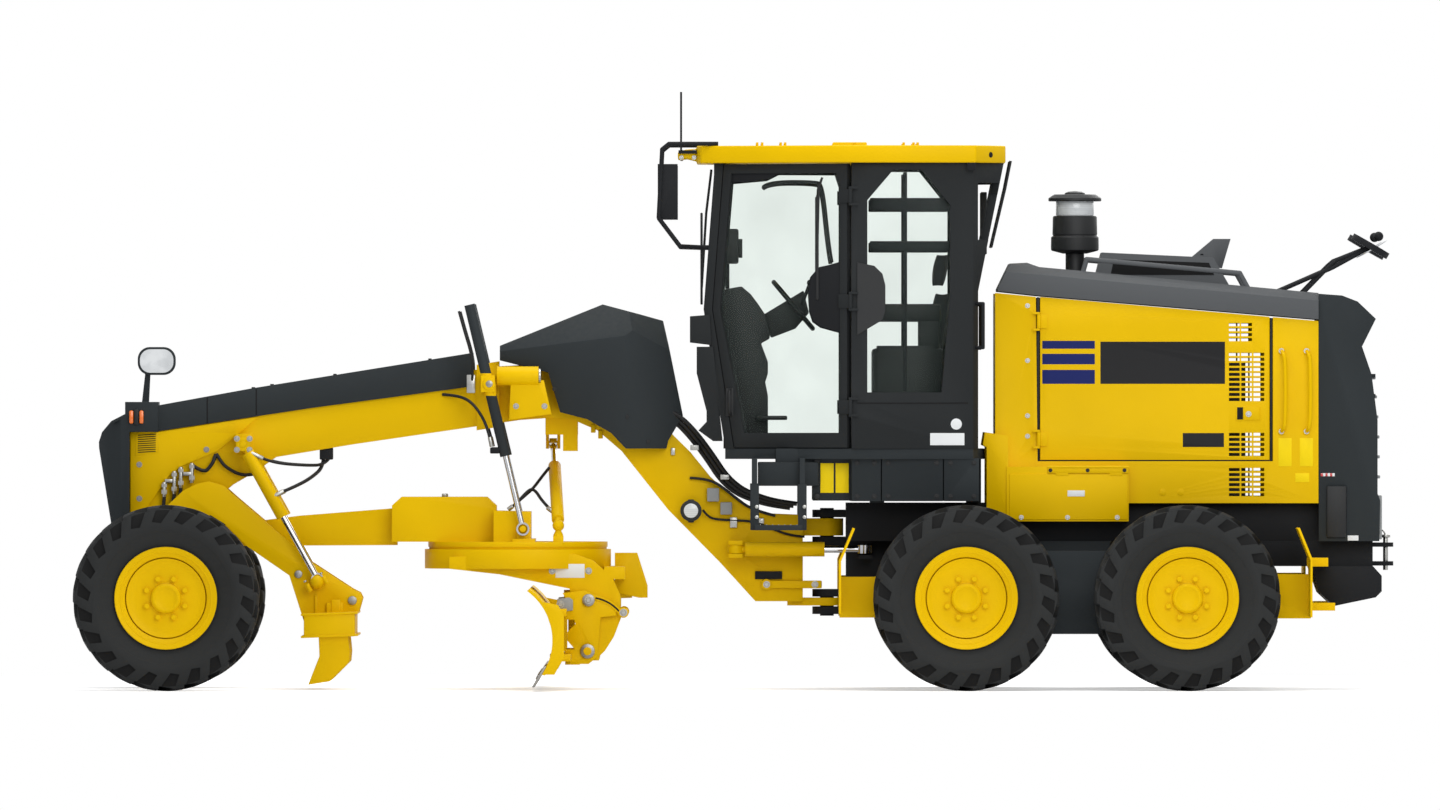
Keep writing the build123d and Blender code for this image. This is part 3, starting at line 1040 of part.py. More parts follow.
with BuildPart() as circle:
    with BuildSketch(Plane.XY.offset(CIRCLE_BOTTOM)):
        with Locations((CIRCLE_X, 0)):
            Circle(CIRCLE_RADIUS)
            Circle(CIRCLE_BORE, mode=Mode.SUBTRACT)
            # Gear teeth all round the inside
            with PolarLocations(CIRCLE_BORE, TOOTH_COUNT):
                Polygon((3, TOOTH_ROOT / 2), (-TOOTH_HEIGHT, TOOTH_TIP / 2), (-TOOTH_HEIGHT, -TOOTH_TIP / 2),
                        (3, -TOOTH_ROOT / 2), align=None)
    extrude(amount=CIRCLE_TOP - CIRCLE_BOTTOM)
    arms = [
        (-1655, CIRCLE_BOTTOM), (-1655, 770), (-930, 785), (-825, 750), (-712, 650), (-665, 545), (-665, 410),
        (-705, 305), (-755, 226), (-785, 197), (-790, 170), (-900, 170), (-910, 270), (-930, 480), (-960, 585),
        (-1170, 628), (-1365, 668),
    ]
    slabs(arms, ARM_INNER, ARM_OUTER)
    # Rear cross plate between the arms, with the ears for the tip cylinder
    block((-760, -640), (-ARM_OUTER, ARM_OUTER), (640, 712))
    slabs([(-700, 560), (-700, 790), (-570, 790), (-510, 600), (-510, 530), (-560, 530)], 36, 60)
    cross_pin(-545, 563, 18, -60, 60)
    for side in (-1, 1):
        cross_pin(TIP_PIVOT_X, TIP_PIVOT_Z, 28, side * ARM_INNER, side * (ARM_OUTER + 45))
keep(circle.part, "circle")

# Blade bracket, moldboard and cutting edge

BRACKET_INNER = ARM_OUTER + 6
BRACKET_OUTER = ARM_OUTER + 36
# Slide rails on the back of the blade: front, back, bottom, top
UPPER_RAIL = (-1060, -975, 430, 470)
LOWER_RAIL = (-1070, -950, 170, 210)
RAIL_HALF = 1000
TUBE_BACK = -936
TUBE_FRONT = -972

with BuildPart() as blade_bracket:
    plate = [
        (-1000, 560), (-870, 575), (-700, 500), (-690, 430), (-780, 420), (-800, 190), (-850, 150), (-905, 150),
        (-925, 230), (TUBE_FRONT, 285), (TUBE_FRONT, 335), (-925, 380), (-960, 495),
    ]
    slabs(plate, BRACKET_INNER, BRACKET_OUTER)
    cross_pin(TIP_PIVOT_X, TIP_PIVOT_Z, 28 + RUNNING_GAP, -600, 600, mode=Mode.SUBTRACT)
    # Shoes that hold the rails
    for (_, back, bottom, top), shoe_back in ((UPPER_RAIL, -925), (LOWER_RAIL, -900)):
        slabs([(back - 35, top + 0.5), (back - 35, top + 24), (shoe_back, top + 24), (shoe_back, bottom - 24),
               (back - 35, bottom - 24), (back - 35, bottom - 0.5), (back + 0.5, bottom - 0.5),
               (back + 0.5, top + 0.5)], BRACKET_INNER, BRACKET_OUTER)
    # Cross tube between the brackets with the ears for the tip cylinder
    block((TUBE_FRONT, TUBE_BACK), (-BRACKET_OUTER, BRACKET_OUTER), (290, 330))
    ear = [(-970, 300), (-970, 515), (-995, 530), (-995, 575), (-935, 575), (-930, 300)]
    slabs(ear, 18, 36)
    cross_pin(-960, 545, 17, -36, 36)
keep(blade_bracket.part, "blade_bracket")

HALF_BLADE = BLADE_LENGTH / 2
with BuildPart() as moldboard:
    with BuildSketch(Plane.XZ.offset(-HALF_BLADE)):
        with BuildLine():
            face_arc = ThreePointArc((-1197, 580), (-1055, 345), (-1112, 100))
            back_arc = ThreePointArc((-1112 + 17, 95), (-1036, 345), (-1184, 592))
            Line(face_arc @ 1, back_arc @ 0)
            Line(back_arc @ 1, face_arc @ 0)
        make_face()
    extrude(amount=BLADE_LENGTH)
    # Slide rails along the back
    for front, back, bottom, top in (UPPER_RAIL, LOWER_RAIL):
        block((front, back), (-RAIL_HALF, RAIL_HALF), (bottom, top))
    # End plates
    for side in (-1, 1):
        near, far = sorted((side * (HALF_BLADE - 14), side * HALF_BLADE))
        slab([(-1108, 100), (-1080, 150), (-1052, 250), (-1052, 350), (-1085, 450), (-1120, 520), (-1020, 500),
              (-985, 440), (-985, 200), (-1040, 100)], -far, -near)
keep(moldboard.part, "moldboard")

with BuildPart() as cutting_edge:
    slab([(-1085.5, 148), (-1112.5, 100), (-1153.6, 27), (-1170, 27), (-1101.5, 148)], -HALF_BLADE, HALF_BLADE)
keep(cutting_edge.part, "cutting_edge")

# Scarifier

SCARIFIER_FRONT = -2495
SCARIFIER_BACK = -2200
SCARIFIER_BOTTOM = 310
SCARIFIER_TOP = 440
SCARIFIER_HALF = 540
TINE_COUNT = 9
TINE_SPACING = 125
TINE_HALF = 12

with BuildPart() as scarifier_arms:
    # The arms stand on the block and against its front
    arm = [
        (-3425, 760), (-3400, 920), (-3295, 1060), (-3200, 1150), (-3120, 1190), (-3050, 1205), (-2965, 1180),
        (-2880, 1105), (-2555, 830), (-2486, 757), (-2215, 580), (-2175, 560), (-2160, 530), (-2185, 440),
        (SCARIFIER_FRONT, SCARIFIER_TOP), (SCARIFIER_FRONT, SCARIFIER_TOP - 60), (-2584, 660), (-2830, 830),
        (-2960, 960), (-3040, 1010), (-3130, 980), (-3240, 880), (-3310, 740), (-3360, 735),
    ]
    slabs(arm, 200, 240)
    cross_pin(SCARIFIER_PIVOT_X, SCARIFIER_PIVOT_Z, 30 + RUNNING_GAP, -260, 260, mode=Mode.SUBTRACT)
    for side in (-1, 1):
        cross_pin(-2420, 640, 18, side * 200, side * 310)
keep(scarifier_arms.part, "scarifier_arms")

with BuildPart() as scarifier:
    block((SCARIFIER_FRONT, SCARIFIER_BACK), (-SCARIFIER_HALF, SCARIFIER_HALF),
          (SCARIFIER_BOTTOM, SCARIFIER_TOP))
    tine = [(-2410, 320), (-2405, 195), (-2470, 30), (-2345, 50), (-2235, 160), (-2230, 220), (-2240, 320)]
    for index in range(TINE_COUNT):
        y = (index - (TINE_COUNT - 1) / 2) * TINE_SPACING
        slab(tine, y - TINE_HALF, y + TINE_HALF)
keep(scarifier.part, "scarifier")

# Cylinders. Each barrel is a tube with a bored inside, each rod has an eye on its end.

BARREL_NECK = 56


def make_barrels(starts, ends, barrel_length, barrel_radius, rod_radius, eye, label):
    """Make barrels from each start towards its end, bored for their rods."""
    with BuildPart() as barrels:
        for start, end in zip(starts, ends):
            bar(start, towards(start, end, BARREL_NECK + 10), rod_radius)
            bar(towards(start, end, BARREL_NECK), towards(start, end, barrel_length), barrel_radius)
            bar(towards(start, end, BARREL_NECK + 15), towards(start, end, barrel_length + 1),
                rod_radius + RUNNING_GAP, mode=Mode.SUBTRACT)
            if eye:
                eye(start)
    keep(barrels.part, label)


def make_rods(starts, ends, from_start, rod_radius, eye_length, eye, label):
    """Make rods that end at each end point with an eye."""
    with BuildPart() as rods:
        for start, end in zip(starts, ends):
            bar(towards(start, end, from_start), towards(end, start, eye_length), rod_radius)
            eye(end)
    keep(rods.part, label)


def eye_across(radius, bore, half):
    """Give a maker of an eye whose bore runs across the machine."""
    def add(point):
        x, y, z = point
        cross_pin(x, z, radius, y - half, y + half)
        cross_pin(x, z, bore, y - half - 1, y + half + 1, mode=Mode.SUBTRACT)
    return add


def eye_upright(radius, bore, half):
    """Give a maker of an eye whose bore stands upright."""
    def add(point):
        x, y, z = point
        bar((x, y, z - half), (x, y, z + half), radius)
        bar((x, y, z - half - 1), (x, y, z + half + 1), bore, mode=Mode.SUBTRACT)
    return add


# Lift cylinders: the barrel passes through the yoke on the saddle
LIFT_RADIUS = 31
LIFT_ROD = 17
LIFT_UP = 470
LIFT_DOWN = 430
with BuildPart() as lift_barrels:
    for side in (-1, 1):
        saddle = (SADDLE_X, side * LIFT_Y, SADDLE_Z)
        ball = (LIFT_BALL_X, side * LIFT_Y, LIFT_BALL_Z)
        top = towards(saddle, ball, -LIFT_UP)
        bar(top, towards(saddle, ball, LIFT_DOWN), LIFT_RADIUS)
        # Yoke that turns on the saddle's pin
        yoke_y = sorted((side * (LIFT_Y - 40), side * (LIFT_Y + 42)))
        block((SADDLE_X - 42, SADDLE_X + 38), yoke_y, (SADDLE_Z - 48, SADDLE_Z + 48))
        cross_pin(SADDLE_X, SADDLE_Z, SADDLE_PIN_RADIUS + RUNNING_GAP, side * (LIFT_Y - 50),
                  side * (LIFT_Y - LIFT_RADIUS), mode=Mode.SUBTRACT)
        bar(towards(saddle, ball, 80 - LIFT_UP), towards(saddle, ball, LIFT_DOWN + 1), LIFT_ROD + RUNNING_GAP,
            mode=Mode.SUBTRACT)
keep(lift_barrels.part, "lift_barrels")
with BuildPart() as lift_rods:
    for side in (-1, 1):
        saddle = (SADDLE_X, side * LIFT_Y, SADDLE_Z)
        ball = (LIFT_BALL_X, side * LIFT_Y, LIFT_BALL_Z)
        bar(towards(saddle, ball, -50), towards(ball, saddle, 34), LIFT_ROD)
        eye_across(38, 28, 15)(ball)
keep(lift_rods.part, "lift_rods")

# Centre shift cylinder: its rod hangs from the frame
SHIFT_RADIUS = 36
SHIFT_ROD = 17
with BuildPart() as shift_rod:
    bar(SHIFT_TOP, towards(SHIFT_TOP, SHIFT_FOOT, 560), SHIFT_ROD)
    for half, radius, mode in ((22, 30, Mode.ADD), (23, 14 + RUNNING_GAP, Mode.SUBTRACT)):
        bar((SHIFT_TOP[0] - half, *SHIFT_TOP[1:]), (SHIFT_TOP[0] + half, *SHIFT_TOP[1:]), radius, mode)
keep(shift_rod.part, "shift_rod")
with BuildPart() as shift_barrel:
    bar(towards(SHIFT_TOP, SHIFT_FOOT, 240), towards(SHIFT_FOOT, SHIFT_TOP, 60), SHIFT_RADIUS)
    bar(towards(SHIFT_TOP, SHIFT_FOOT, 230), towards(SHIFT_FOOT, SHIFT_TOP, 110), SHIFT_ROD + RUNNING_GAP,
        mode=Mode.SUBTRACT)
    bar(towards(SHIFT_FOOT, SHIFT_TOP, 62), SHIFT_FOOT, 20)
keep(shift_barrel.part, "shift_barrel")

# Articulation cylinders
for side, name in ((-1, "left"), (1, "right")):
    front_pin = (ARTIC_FRONT_X, side * ARTIC_Y, ARTIC_Z)
    rear_pin = (ARTIC_REAR_X, side * ARTIC_Y, ARTIC_Z)
    make_barrels([front_pin], [rear_pin], 515, 42, 20, eye_upright(44, 20 + RUNNING_GAP, 24),
                 f"articulation_barrel_{name}")
    make_rods([front_pin], [rear_pin], 340, 20, 38, eye_upright(46, 35, 24), f"articulation_rod_{name}")

# Scarifier cylinders
SCARIFIER_TOPS = [(SCARIFIER_TOP_X, side * SCARIFIER_CYLINDER_Y, SCARIFIER_TOP_Z) for side in (-1, 1)]
SCARIFIER_FEET = [(-2420, side * SCARIFIER_CYLINDER_Y, 640) for side in (-1, 1)]
make_barrels(SCARIFIER_TOPS, SCARIFIER_FEET, 480, 38, 19, eye_across(40, 20 + RUNNING_GAP, 18),
             "scarifier_barrels")
make_rods(SCARIFIER_TOPS, SCARIFIER_FEET, 300, 19, 30, eye_across(36, 27, 15), "scarifier_rods")

# Tip cylinder between the circle and the blade bracket
TIP_BACK = (-545, 0, 563)
TIP_FRONT = (-960, 0, 545)
make_barrels([TIP_BACK], [TIP_FRONT], 240, 32, 16, eye_across(34, 18 + RUNNING_GAP, 26), "tip_barrel")
make_rods([TIP_BACK], [TIP_FRONT], 110, 16, 26, eye_across(32, 24, 15), "tip_rod")
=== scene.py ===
"""Dress the motor grader: camera, light, finishes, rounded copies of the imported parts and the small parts."""

import json
import logging
import math
from contextlib import contextmanager
from dataclasses import dataclass
from enum import Enum
from typing import Iterable, Iterator, Sequence

import bpy
from mathutils import Matrix, Vector


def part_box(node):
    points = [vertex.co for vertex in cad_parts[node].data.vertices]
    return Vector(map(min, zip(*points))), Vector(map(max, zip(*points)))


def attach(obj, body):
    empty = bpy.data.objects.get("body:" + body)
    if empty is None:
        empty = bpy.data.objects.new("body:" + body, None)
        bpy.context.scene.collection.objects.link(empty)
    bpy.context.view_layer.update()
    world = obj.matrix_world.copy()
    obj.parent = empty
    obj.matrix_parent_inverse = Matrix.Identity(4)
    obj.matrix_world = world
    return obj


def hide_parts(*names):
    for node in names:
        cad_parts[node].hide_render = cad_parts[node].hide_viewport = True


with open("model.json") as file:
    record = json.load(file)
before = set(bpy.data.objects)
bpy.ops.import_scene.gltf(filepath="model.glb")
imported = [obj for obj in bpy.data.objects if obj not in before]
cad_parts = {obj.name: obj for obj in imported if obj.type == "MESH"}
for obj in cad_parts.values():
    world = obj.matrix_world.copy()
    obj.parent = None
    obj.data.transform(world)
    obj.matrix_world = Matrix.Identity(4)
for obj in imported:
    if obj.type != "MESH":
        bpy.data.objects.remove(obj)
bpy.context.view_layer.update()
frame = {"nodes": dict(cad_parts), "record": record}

log = logging.getLogger("grader")
Piece = bpy.types.Object
Point = tuple[float, float, float]
Colour = tuple[float, float, float]
Outline = Sequence[tuple[float, float]]


class Side(Enum):
    """A side of the machine, by the sign of Y."""

    LEFT = -1
    RIGHT = 1


class Wire:
    """A shader value with Python arithmetic."""

    def __init__(self, shop: "NodeShop", socket: bpy.types.NodeSocket) -> None:
        """Keep the socket and the tree it belongs to.

        Args:
            shop: The node maker of the tree.
            socket: The output socket that carries the value.
        """
        self.shop = shop
        self.socket = socket

    def _math(self, operation: str, first: "Wire | float", second: "Wire | float") -> "Wire":
        """Join two values by a Math node.

        Args:
            operation: The operation of the Math node.
            first: The first value.
            second: The second value.

        Returns:
            The result.
        """
        return self.shop.node("ShaderNodeMath", {"operation": operation}, {0: first, 1: second})

    def __add__(self, other: "Wire | float") -> "Wire":
        """Give self + other."""
        return self._math("ADD", self, other)

    def __sub__(self, other: "Wire | float") -> "Wire":
        """Give self - other."""
        return self._math("SUBTRACT", self, other)

    def __rsub__(self, other: float) -> "Wire":
        """Give other - self."""
        return self._math("SUBTRACT", other, self)

    def __mul__(self, other: "Wire | float") -> "Wire":
        """Give self * other."""
        return self._math("MULTIPLY", self, other)

    __radd__ = __add__
    __rmul__ = __mul__

    def at_least(self, low: float) -> "Wire":
        """Give 1 where the value is over low, else 0."""
        return self._math("GREATER_THAN", self, low)

    def below(self, high: float) -> "Wire":
        """Give 1 where the value is under high, else 0."""
        return self._math("LESS_THAN", self, high)

    def between(self, low: float, high: float) -> "Wire":
        """Give 1 between two limits, else 0."""
        return self.at_least(low) * self.below(high)

    def rounded(self, half: float) -> "Wire":
        """Give the distance to the nearest multiple of twice half, from -half to half."""
        return self.shop.node("ShaderNodeMath", {"operation": "WRAP"}, {0: self, 1: half, 2: -half})

    def size(self) -> "Wire":
        """Give the value without its sign."""
        return self._math("ABSOLUTE", self, 0.0)

    def root(self) -> "Wire":
        """Give the square root."""
        return self._math("SQRT", self, 0.0)


class NodeShop:
    """Makes the nodes of one material."""

    def __init__(self, name: str) -> None:
        """Start a material with an empty tree.

        Args:
            name: The material's name.
        """
        self.material = bpy.data.materials.new(name)
        self.material.use_nodes = True
        self.tree = self.material.node_tree
        self.tree.nodes.clear()

    def node(self, kind: str, settings: dict | None = None, inputs: dict | None = None,
             output: int | str = 0) -> Wire:
        """Make one node.

        Args:
            kind: The node's type.
            settings: Its own settings.
            inputs: Values or wires by socket name or number.
            output: Which output to give back.

        Returns:
            The chosen output.
        """
        made = self.tree.nodes.new(kind)
        for key, value in (settings or {}).items():
            setattr(made, key, value)
        for key, value in (inputs or {}).items():
            socket = made.inputs[key]
            if isinstance(value, Wire):
                self.tree.links.new(value.socket, socket)
            elif isinstance(value, tuple) and len(value) == 3 and socket.type == "RGBA":
                socket.default_value = (*value, 1.0)
            else:
                socket.default_value = value
        return Wire(self, made.outputs[output])

    def place(self) -> Wire:
        """Give the place on the object as a vector."""
        return self.node("ShaderNodeTexCoord", {}, {}, "Object")

    def axes(self, vector: Wire) -> tuple[Wire, Wire, Wire]:
        """Split a vector into X, Y and Z.

        Args:
            vector: The vector.

        Returns:
            Its three parts.
        """
        first = self.node("ShaderNodeSeparateXYZ", {}, {0: vector})
        outs = first.socket.node.outputs
        return tuple(Wire(self, outs[i]) for i in range(3))

    def noise(self, vector: Wire, scale: float, detail: float = 2.0, roughness: float = 0.5) -> Wire:
        """Give cloudy noise from 0 to 1.

        Args:
            vector: Where to read it.
            scale: How many clouds there are to a metre.
            detail: How many finer layers are added.
            roughness: How strong the finer layers are.

        Returns:
            The noise value.
        """
        return self.node("ShaderNodeTexNoise", {}, {"Vector": vector, "Scale": scale, "Detail": detail,
                                                     "Roughness": roughness})

    def span(self, value: Wire, low: float, high: float, to_low: float, to_high: float) -> Wire:
        """Map a value from one span to another, held at its ends.

        Args:
            value: The value.
            low: The start of its span.
            high: The end of its span.
            to_low: The result at the start.
            to_high: The result at the end.

        Returns:
            The mapped value.
        """
        return self.node("ShaderNodeMapRange", {}, {0: value, 1: low, 2: high, 3: to_low, 4: to_high})

    def middle(self, noise: Wire, to_low: float, to_high: float) -> Wire:
        """Map a noise from 0.3 to 0.7, where nearly all of it lies, to a span."""
        return self.span(noise, 0.3, 0.7, to_low, to_high)

    def blend(self, factor: "Wire | float", first: "Wire | tuple", second: "Wire | tuple") -> Wire:
        """Mix two colours.

        Args:
            factor: 0 gives the first colour and 1 the second.
            first: The first colour.
            second: The second colour.

        Returns:
            The mixed colour.
        """
        return self.node("ShaderNodeMix", {"data_type": "RGBA"}, {0: factor, 6: first, 7: second}, 2)

    def bump(self, height: Wire, strength: float, distance: float) -> Wire:
        """Turn a height into a normal.

        Args:
            height: The height, from 0 to 1.
            strength: How much of it shows.
            distance: The depth of a full step in metres.

        Returns:
            The normal.
        """
        return self.node("ShaderNodeBump", {}, {"Height": height, "Strength": strength, "Distance": distance})

    def surface(self, **sockets: "Wire | float | tuple") -> bpy.types.Material:
        """End the tree in one shader.

        Args:
            sockets: The shader's sockets, with _ for spaces.

        Returns:
            The finished material.
        """
        values = {name.replace("_", " "): value for name, value in sockets.items()}
        shader = self.node("ShaderNodeBsdfPrincipled", {}, values)
        self.node_out(shader)
        return self.material

    def node_out(self, shader: Wire) -> None:
        """Lead a shader to the material's output."""
        end = self.tree.nodes.new("ShaderNodeOutputMaterial")
        self.tree.links.new(shader.socket, end.inputs["Surface"])


def linear(red: int, green: int, blue: int) -> Colour:
    """Turn a screen colour from 0 to 255 into a linear one.

    Args:
        red: Its red.
        green: Its green.
        blue: Its blue.

    Returns:
        The linear colour.
    """
    def one(value: int) -> float:
        """Turn one channel."""
        share = value / 255
        return share / 12.92 if share <= 0.04045 else ((share + 0.055) / 1.055) ** 2.4
    return one(red), one(green), one(blue)


@dataclass(frozen=True)
class Finish:
    """What a piece is made of: its material's name, and the name of a slot, which this script doesn't use."""

    name: str
    slot: str

    def make(self) -> bpy.types.Material:
        """Build the material."""
        raise NotImplementedError(self.name)


@dataclass(frozen=True)
class Paint(Finish):
    """Smooth machine paint: faint clouds of shade, fine orange peel, a little dust on its upper faces."""

    colour: Colour
    roughness: float = 0.42
    cloud: float = 0.035
    peel: float = 0.12
    dust: float = 0.05
    shine: float = 0.06

    def make(self, name: str = "", zones: Sequence[tuple] = ()) -> bpy.types.Material:
        """Build the material.

        Args:
            name: Another name, where zones make it another material.
            zones: Boxes of other colours: lowest X, highest X, lowest Z, highest Z and colour.

        Returns:
            The material.
        """
        shop = NodeShop(name or self.name)
        place = shop.place()
        clouds = shop.noise(place, 1.3, 3.0)
        fine = shop.noise(place, 38.0, 3.0)
        dark = tuple(c * (1 - 2.2 * self.cloud) for c in self.colour)
        light = tuple(min(1.0, c * (1 + self.cloud)) for c in self.colour)
        tone = shop.blend(shop.middle(clouds, 0.0, 1.0), dark, light)
        across, _, high = shop.axes(place)
        for low_x, high_x, low_z, high_z, other in zones:
            tone = shop.blend(across.between(low_x, high_x) * high.between(low_z, high_z), tone, other)
        up = shop.axes(shop.node("ShaderNodeNewGeometry", {}, {}, "Normal"))[2]
        settled = shop.span(up, 0.35, 1.0, 0.0, self.dust) * shop.span(fine, 0.35, 0.7, 0.2, 1.0)
        colour = shop.blend(settled, tone, linear(176, 170, 156))
        shine = shop.middle(fine, self.roughness - 0.04, self.roughness + 0.05) + settled * 0.5
        peel = shop.noise(place, 420.0, 1.0)
        return shop.surface(Base_Color=colour, Roughness=shine, Specular_IOR_Level=self.shine,
                            Normal=shop.bump(peel, self.peel, 0.0006))


@dataclass(frozen=True)
class Zoned(Finish):
    """Machine paint with boxes of other colours on it, such as stripes and bare plates."""

    base: Paint
    # Lowest X, highest X, lowest Z, highest Z, colour
    zones: tuple[tuple[float, float, float, float, Colour], ...]

    def make(self) -> bpy.types.Material:
        """Build the material."""
        return self.base.make(self.name, self.zones)


@dataclass(frozen=True)
class Woven(Finish):
    """Seat fabric: a fine weave with soft cloudy wear."""

    colour: Colour
    threads: float = 0.0016

    def make(self) -> bpy.types.Material:
        """Build the material."""
        shop = NodeShop(self.name)
        place = shop.place()
        across, along, up = shop.axes(place)
        warp = shop.span((along + across * 0.4).rounded(self.threads).size(), 0.0, self.threads, 0.0, 1.0)
        weft = shop.span((up + across * 0.6).rounded(self.threads).size(), 0.0, self.threads, 0.0, 1.0)
        wear = shop.noise(place, 6.0, 3.0)
        dark = tuple(c * 0.7 for c in self.colour)
        colour = shop.blend(shop.middle(wear, 0.0, 1.0), dark, self.colour)
        return shop.surface(Base_Color=colour, Roughness=shop.middle(wear, 0.82, 0.95),
                            Normal=shop.bump(warp * weft, 0.5, 0.0008))


@dataclass(frozen=True)
class Moulded(Finish):
    """Moulded plastic or rubber with a fine grain."""

    colour: Colour
    roughness: float = 0.6
    grain: float = 260.0
    depth: float = 0.25
    cloud: float = 0.12

    def make(self) -> bpy.types.Material:
        """Build the material."""
        shop = NodeShop(self.name)
        place = shop.place()
        clouds = shop.noise(place, 4.0, 4.0)
        grain = shop.noise(place, self.grain, 2.0)
        dark = tuple(c * (1 - self.cloud) for c in self.colour)
        light = tuple(min(1.0, c * (1 + self.cloud)) for c in self.colour)
        colour = shop.blend(shop.middle(clouds, 0.0, 1.0), dark, light)
        shine = shop.middle(clouds, self.roughness - 0.05, self.roughness + 0.06)
        return shop.surface(Base_Color=colour, Roughness=shine, Specular_IOR_Level=0.25,
                            Normal=shop.bump(grain, self.depth, 0.0008))


@dataclass(frozen=True)
class Tread(Finish):
    """Tyre rubber with painted shade in the grooves between its lugs, and a raised ring on its wall."""

    colour: Colour
    groove_shade: Colour
    axle_z: float = 0.535
    middle_y: float = 0.925
    front_x: float = -3.280
    tandem_x: float = 1.965
    tandem_half: float = 0.6365
    # Radius at the grooves' foot and floor, and how far across they reach, which bound the painted shade
    groove: tuple[float, float, float] = (0.421, 0.5085, 0.1935)
    ring: tuple[float, float] = (0.377, 0.381)

    def make(self) -> bpy.types.Material:
        """Build the material."""
        shop = NodeShop(self.name)
        place = shop.place()
        x, y, z = shop.axes(place)
        rear = x.at_least(-1.0)
        along = ((x - self.tandem_x).size() - self.tandem_half) * rear + (x - self.front_x) * (1.0 - rear)
        radius = (along * along + (z - self.axle_z) * (z - self.axle_z)).root()
        across = (y.size() - self.middle_y).size()
        foot, floor, reach = self.groove
        clouds = shop.noise(place, 5.0, 4.0)
        grain = shop.noise(place, 180.0, 2.0)
        light = tuple(c * 1.25 for c in self.colour)
        tone = shop.blend(shop.middle(clouds, 0.0, 1.0), self.colour, light)
        # Painted shade: the grooves between the lugs are darkened to the groove shade colour
        tone = shop.blend(radius.between(foot, floor) * across.below(reach), tone, self.groove_shade)
        step = shop.span(radius, self.ring[0], self.ring[1], 0.0, 1.0)
        shine = shop.middle(clouds, 0.68, 0.8)
        return shop.surface(Base_Color=tone, Roughness=shine, Specular_IOR_Level=0.2,
                            Normal=shop.bump(grain * 0.25 + step, 0.6, 0.002))


@dataclass(frozen=True)
class Bare(Finish):
    """Bare or plated metal with fine streaks along one way."""

    colour: Colour
    roughness: float = 0.3
    streak: tuple[float, float, float] = (4.0, 260.0, 260.0)

    def make(self) -> bpy.types.Material:
        """Build the material."""
        shop = NodeShop(self.name)
        place = shop.place()
        stretched = shop.node("ShaderNodeMapping", {}, {"Vector": place, "Scale": self.streak})
        streaks = shop.noise(stretched, 1.0, 3.0)
        clouds = shop.noise(place, 9.0, 3.0)
        dark = tuple(c * 0.86 for c in self.colour)
        colour = shop.blend(shop.middle(streaks, 0.0, 1.0), dark, self.colour)
        shine = shop.middle(clouds, self.roughness - 0.06, self.roughness + 0.08)
        return shop.surface(Base_Color=colour, Roughness=shine, Metallic=1.0,
                            Normal=shop.bump(streaks, 0.12, 0.0004))


@dataclass(frozen=True)
class Pane(Finish):
    """Clear tinted glass."""

    colour: Colour
    clear: float = 0.965

    def make(self) -> bpy.types.Material:
        """Build the material."""
        shop = NodeShop(self.name)
        place = shop.place()
        film = shop.noise(place, 2.2, 3.0)
        tint = shop.middle(film, self.clear - 0.02, self.clear + 0.02)
        glass = shop.node("ShaderNodeBsdfPrincipled", {}, {
            "Base Color": self.colour, "Roughness": shop.middle(film, 0.02, 0.06), "IOR": 1.45,
            "Specular IOR Level": 0.5})
        through = shop.node("ShaderNodeBsdfTransparent", {}, {"Color": (0.972, 0.992, 0.980)})
        shop.node_out(shop.node("ShaderNodeMixShader", {}, {0: tint, 1: glass, 2: through}))
        return shop.material


@dataclass(frozen=True)
class Lamp(Finish):
    """A lamp lens: coloured clear plastic with fine ribs."""

    colour: Colour

    def make(self) -> bpy.types.Material:
        """Build the material."""
        shop = NodeShop(self.name)
        place = shop.place()
        across, _, up = shop.axes(place)
        ribs = shop.span(across.rounded(0.004).size(), 0.0, 0.004, 0.0, 1.0)
        colour = shop.blend(shop.span(up.rounded(0.006).size(), 0.0, 0.006, 0.0, 0.35), self.colour,
                            tuple(min(1.0, c * 1.5 + 0.02) for c in self.colour))
        return shop.surface(Base_Color=colour, Roughness=0.18, Coat_Weight=0.6, Coat_Roughness=0.05,
                            Normal=shop.bump(ribs, 0.3, 0.001))


# The yellow of parts that a zone of another paint imitates
TRIM_YELLOW = linear(228, 184, 2)
YELLOW = Paint("yellow_paint", "yellow", linear(224, 181, 1))
CHARCOAL = Paint("charcoal_paint", "charcoal", linear(47, 51, 53), roughness=0.55, dust=0.04)
CAB_PAINT = Paint("cab_paint", "charcoal", linear(41, 43, 44), roughness=0.55, dust=0.04)
BLACK = Paint("black_paint", "black_steel", linear(34, 35, 37), roughness=0.5, dust=0.04)
GREY_IRON = Paint("grey_iron", "iron", linear(96, 98, 100), roughness=0.5, peel=0.3)
WHITE = Paint("pale_sticker", "window", linear(222, 224, 224), roughness=0.4, dust=0.02)
LEMON = Paint("yellow_sticker", "yellow", linear(240, 208, 20), roughness=0.4, dust=0.02)
GREY = Paint("grey_moulding", "iron", linear(150, 152, 152), roughness=0.5)
# Black for painted shade: dark blocks and plates laid where recesses, slots, seams and pockets show only shade
SHADE = Moulded("painted_shade_black", "plastic", linear(16, 16, 17), roughness=0.8)
STRIPE_BLUE = linear(30, 38, 92)
PLATE_BLACK = linear(38, 38, 39)
TOPPED = Zoned("hood_top_paint", "charcoal", CHARCOAL, ((1.40, 3.368, 2.120, 3.0, linear(84, 86, 88)),))
STRIPED = Zoned("striped_yellow_paint", "yellow", YELLOW, (
    (1.772, 2.076, 1.972, 2.018, STRIPE_BLUE), (1.772, 2.076, 1.882, 1.943, STRIPE_BLUE),
    (1.772, 2.076, 1.769, 1.850, STRIPE_BLUE), (2.108, 2.828, 1.769, 2.013, PLATE_BLACK),
    (2.584, 2.822, 1.404, 1.485, PLATE_BLACK)))
CASES = Zoned("tandem_case_paint", "charcoal", CHARCOAL, (
    (-1.0, 0.880, -1.0, 2.0, TRIM_YELLOW), (3.120, 5.0, -1.0, 2.0, TRIM_YELLOW)))
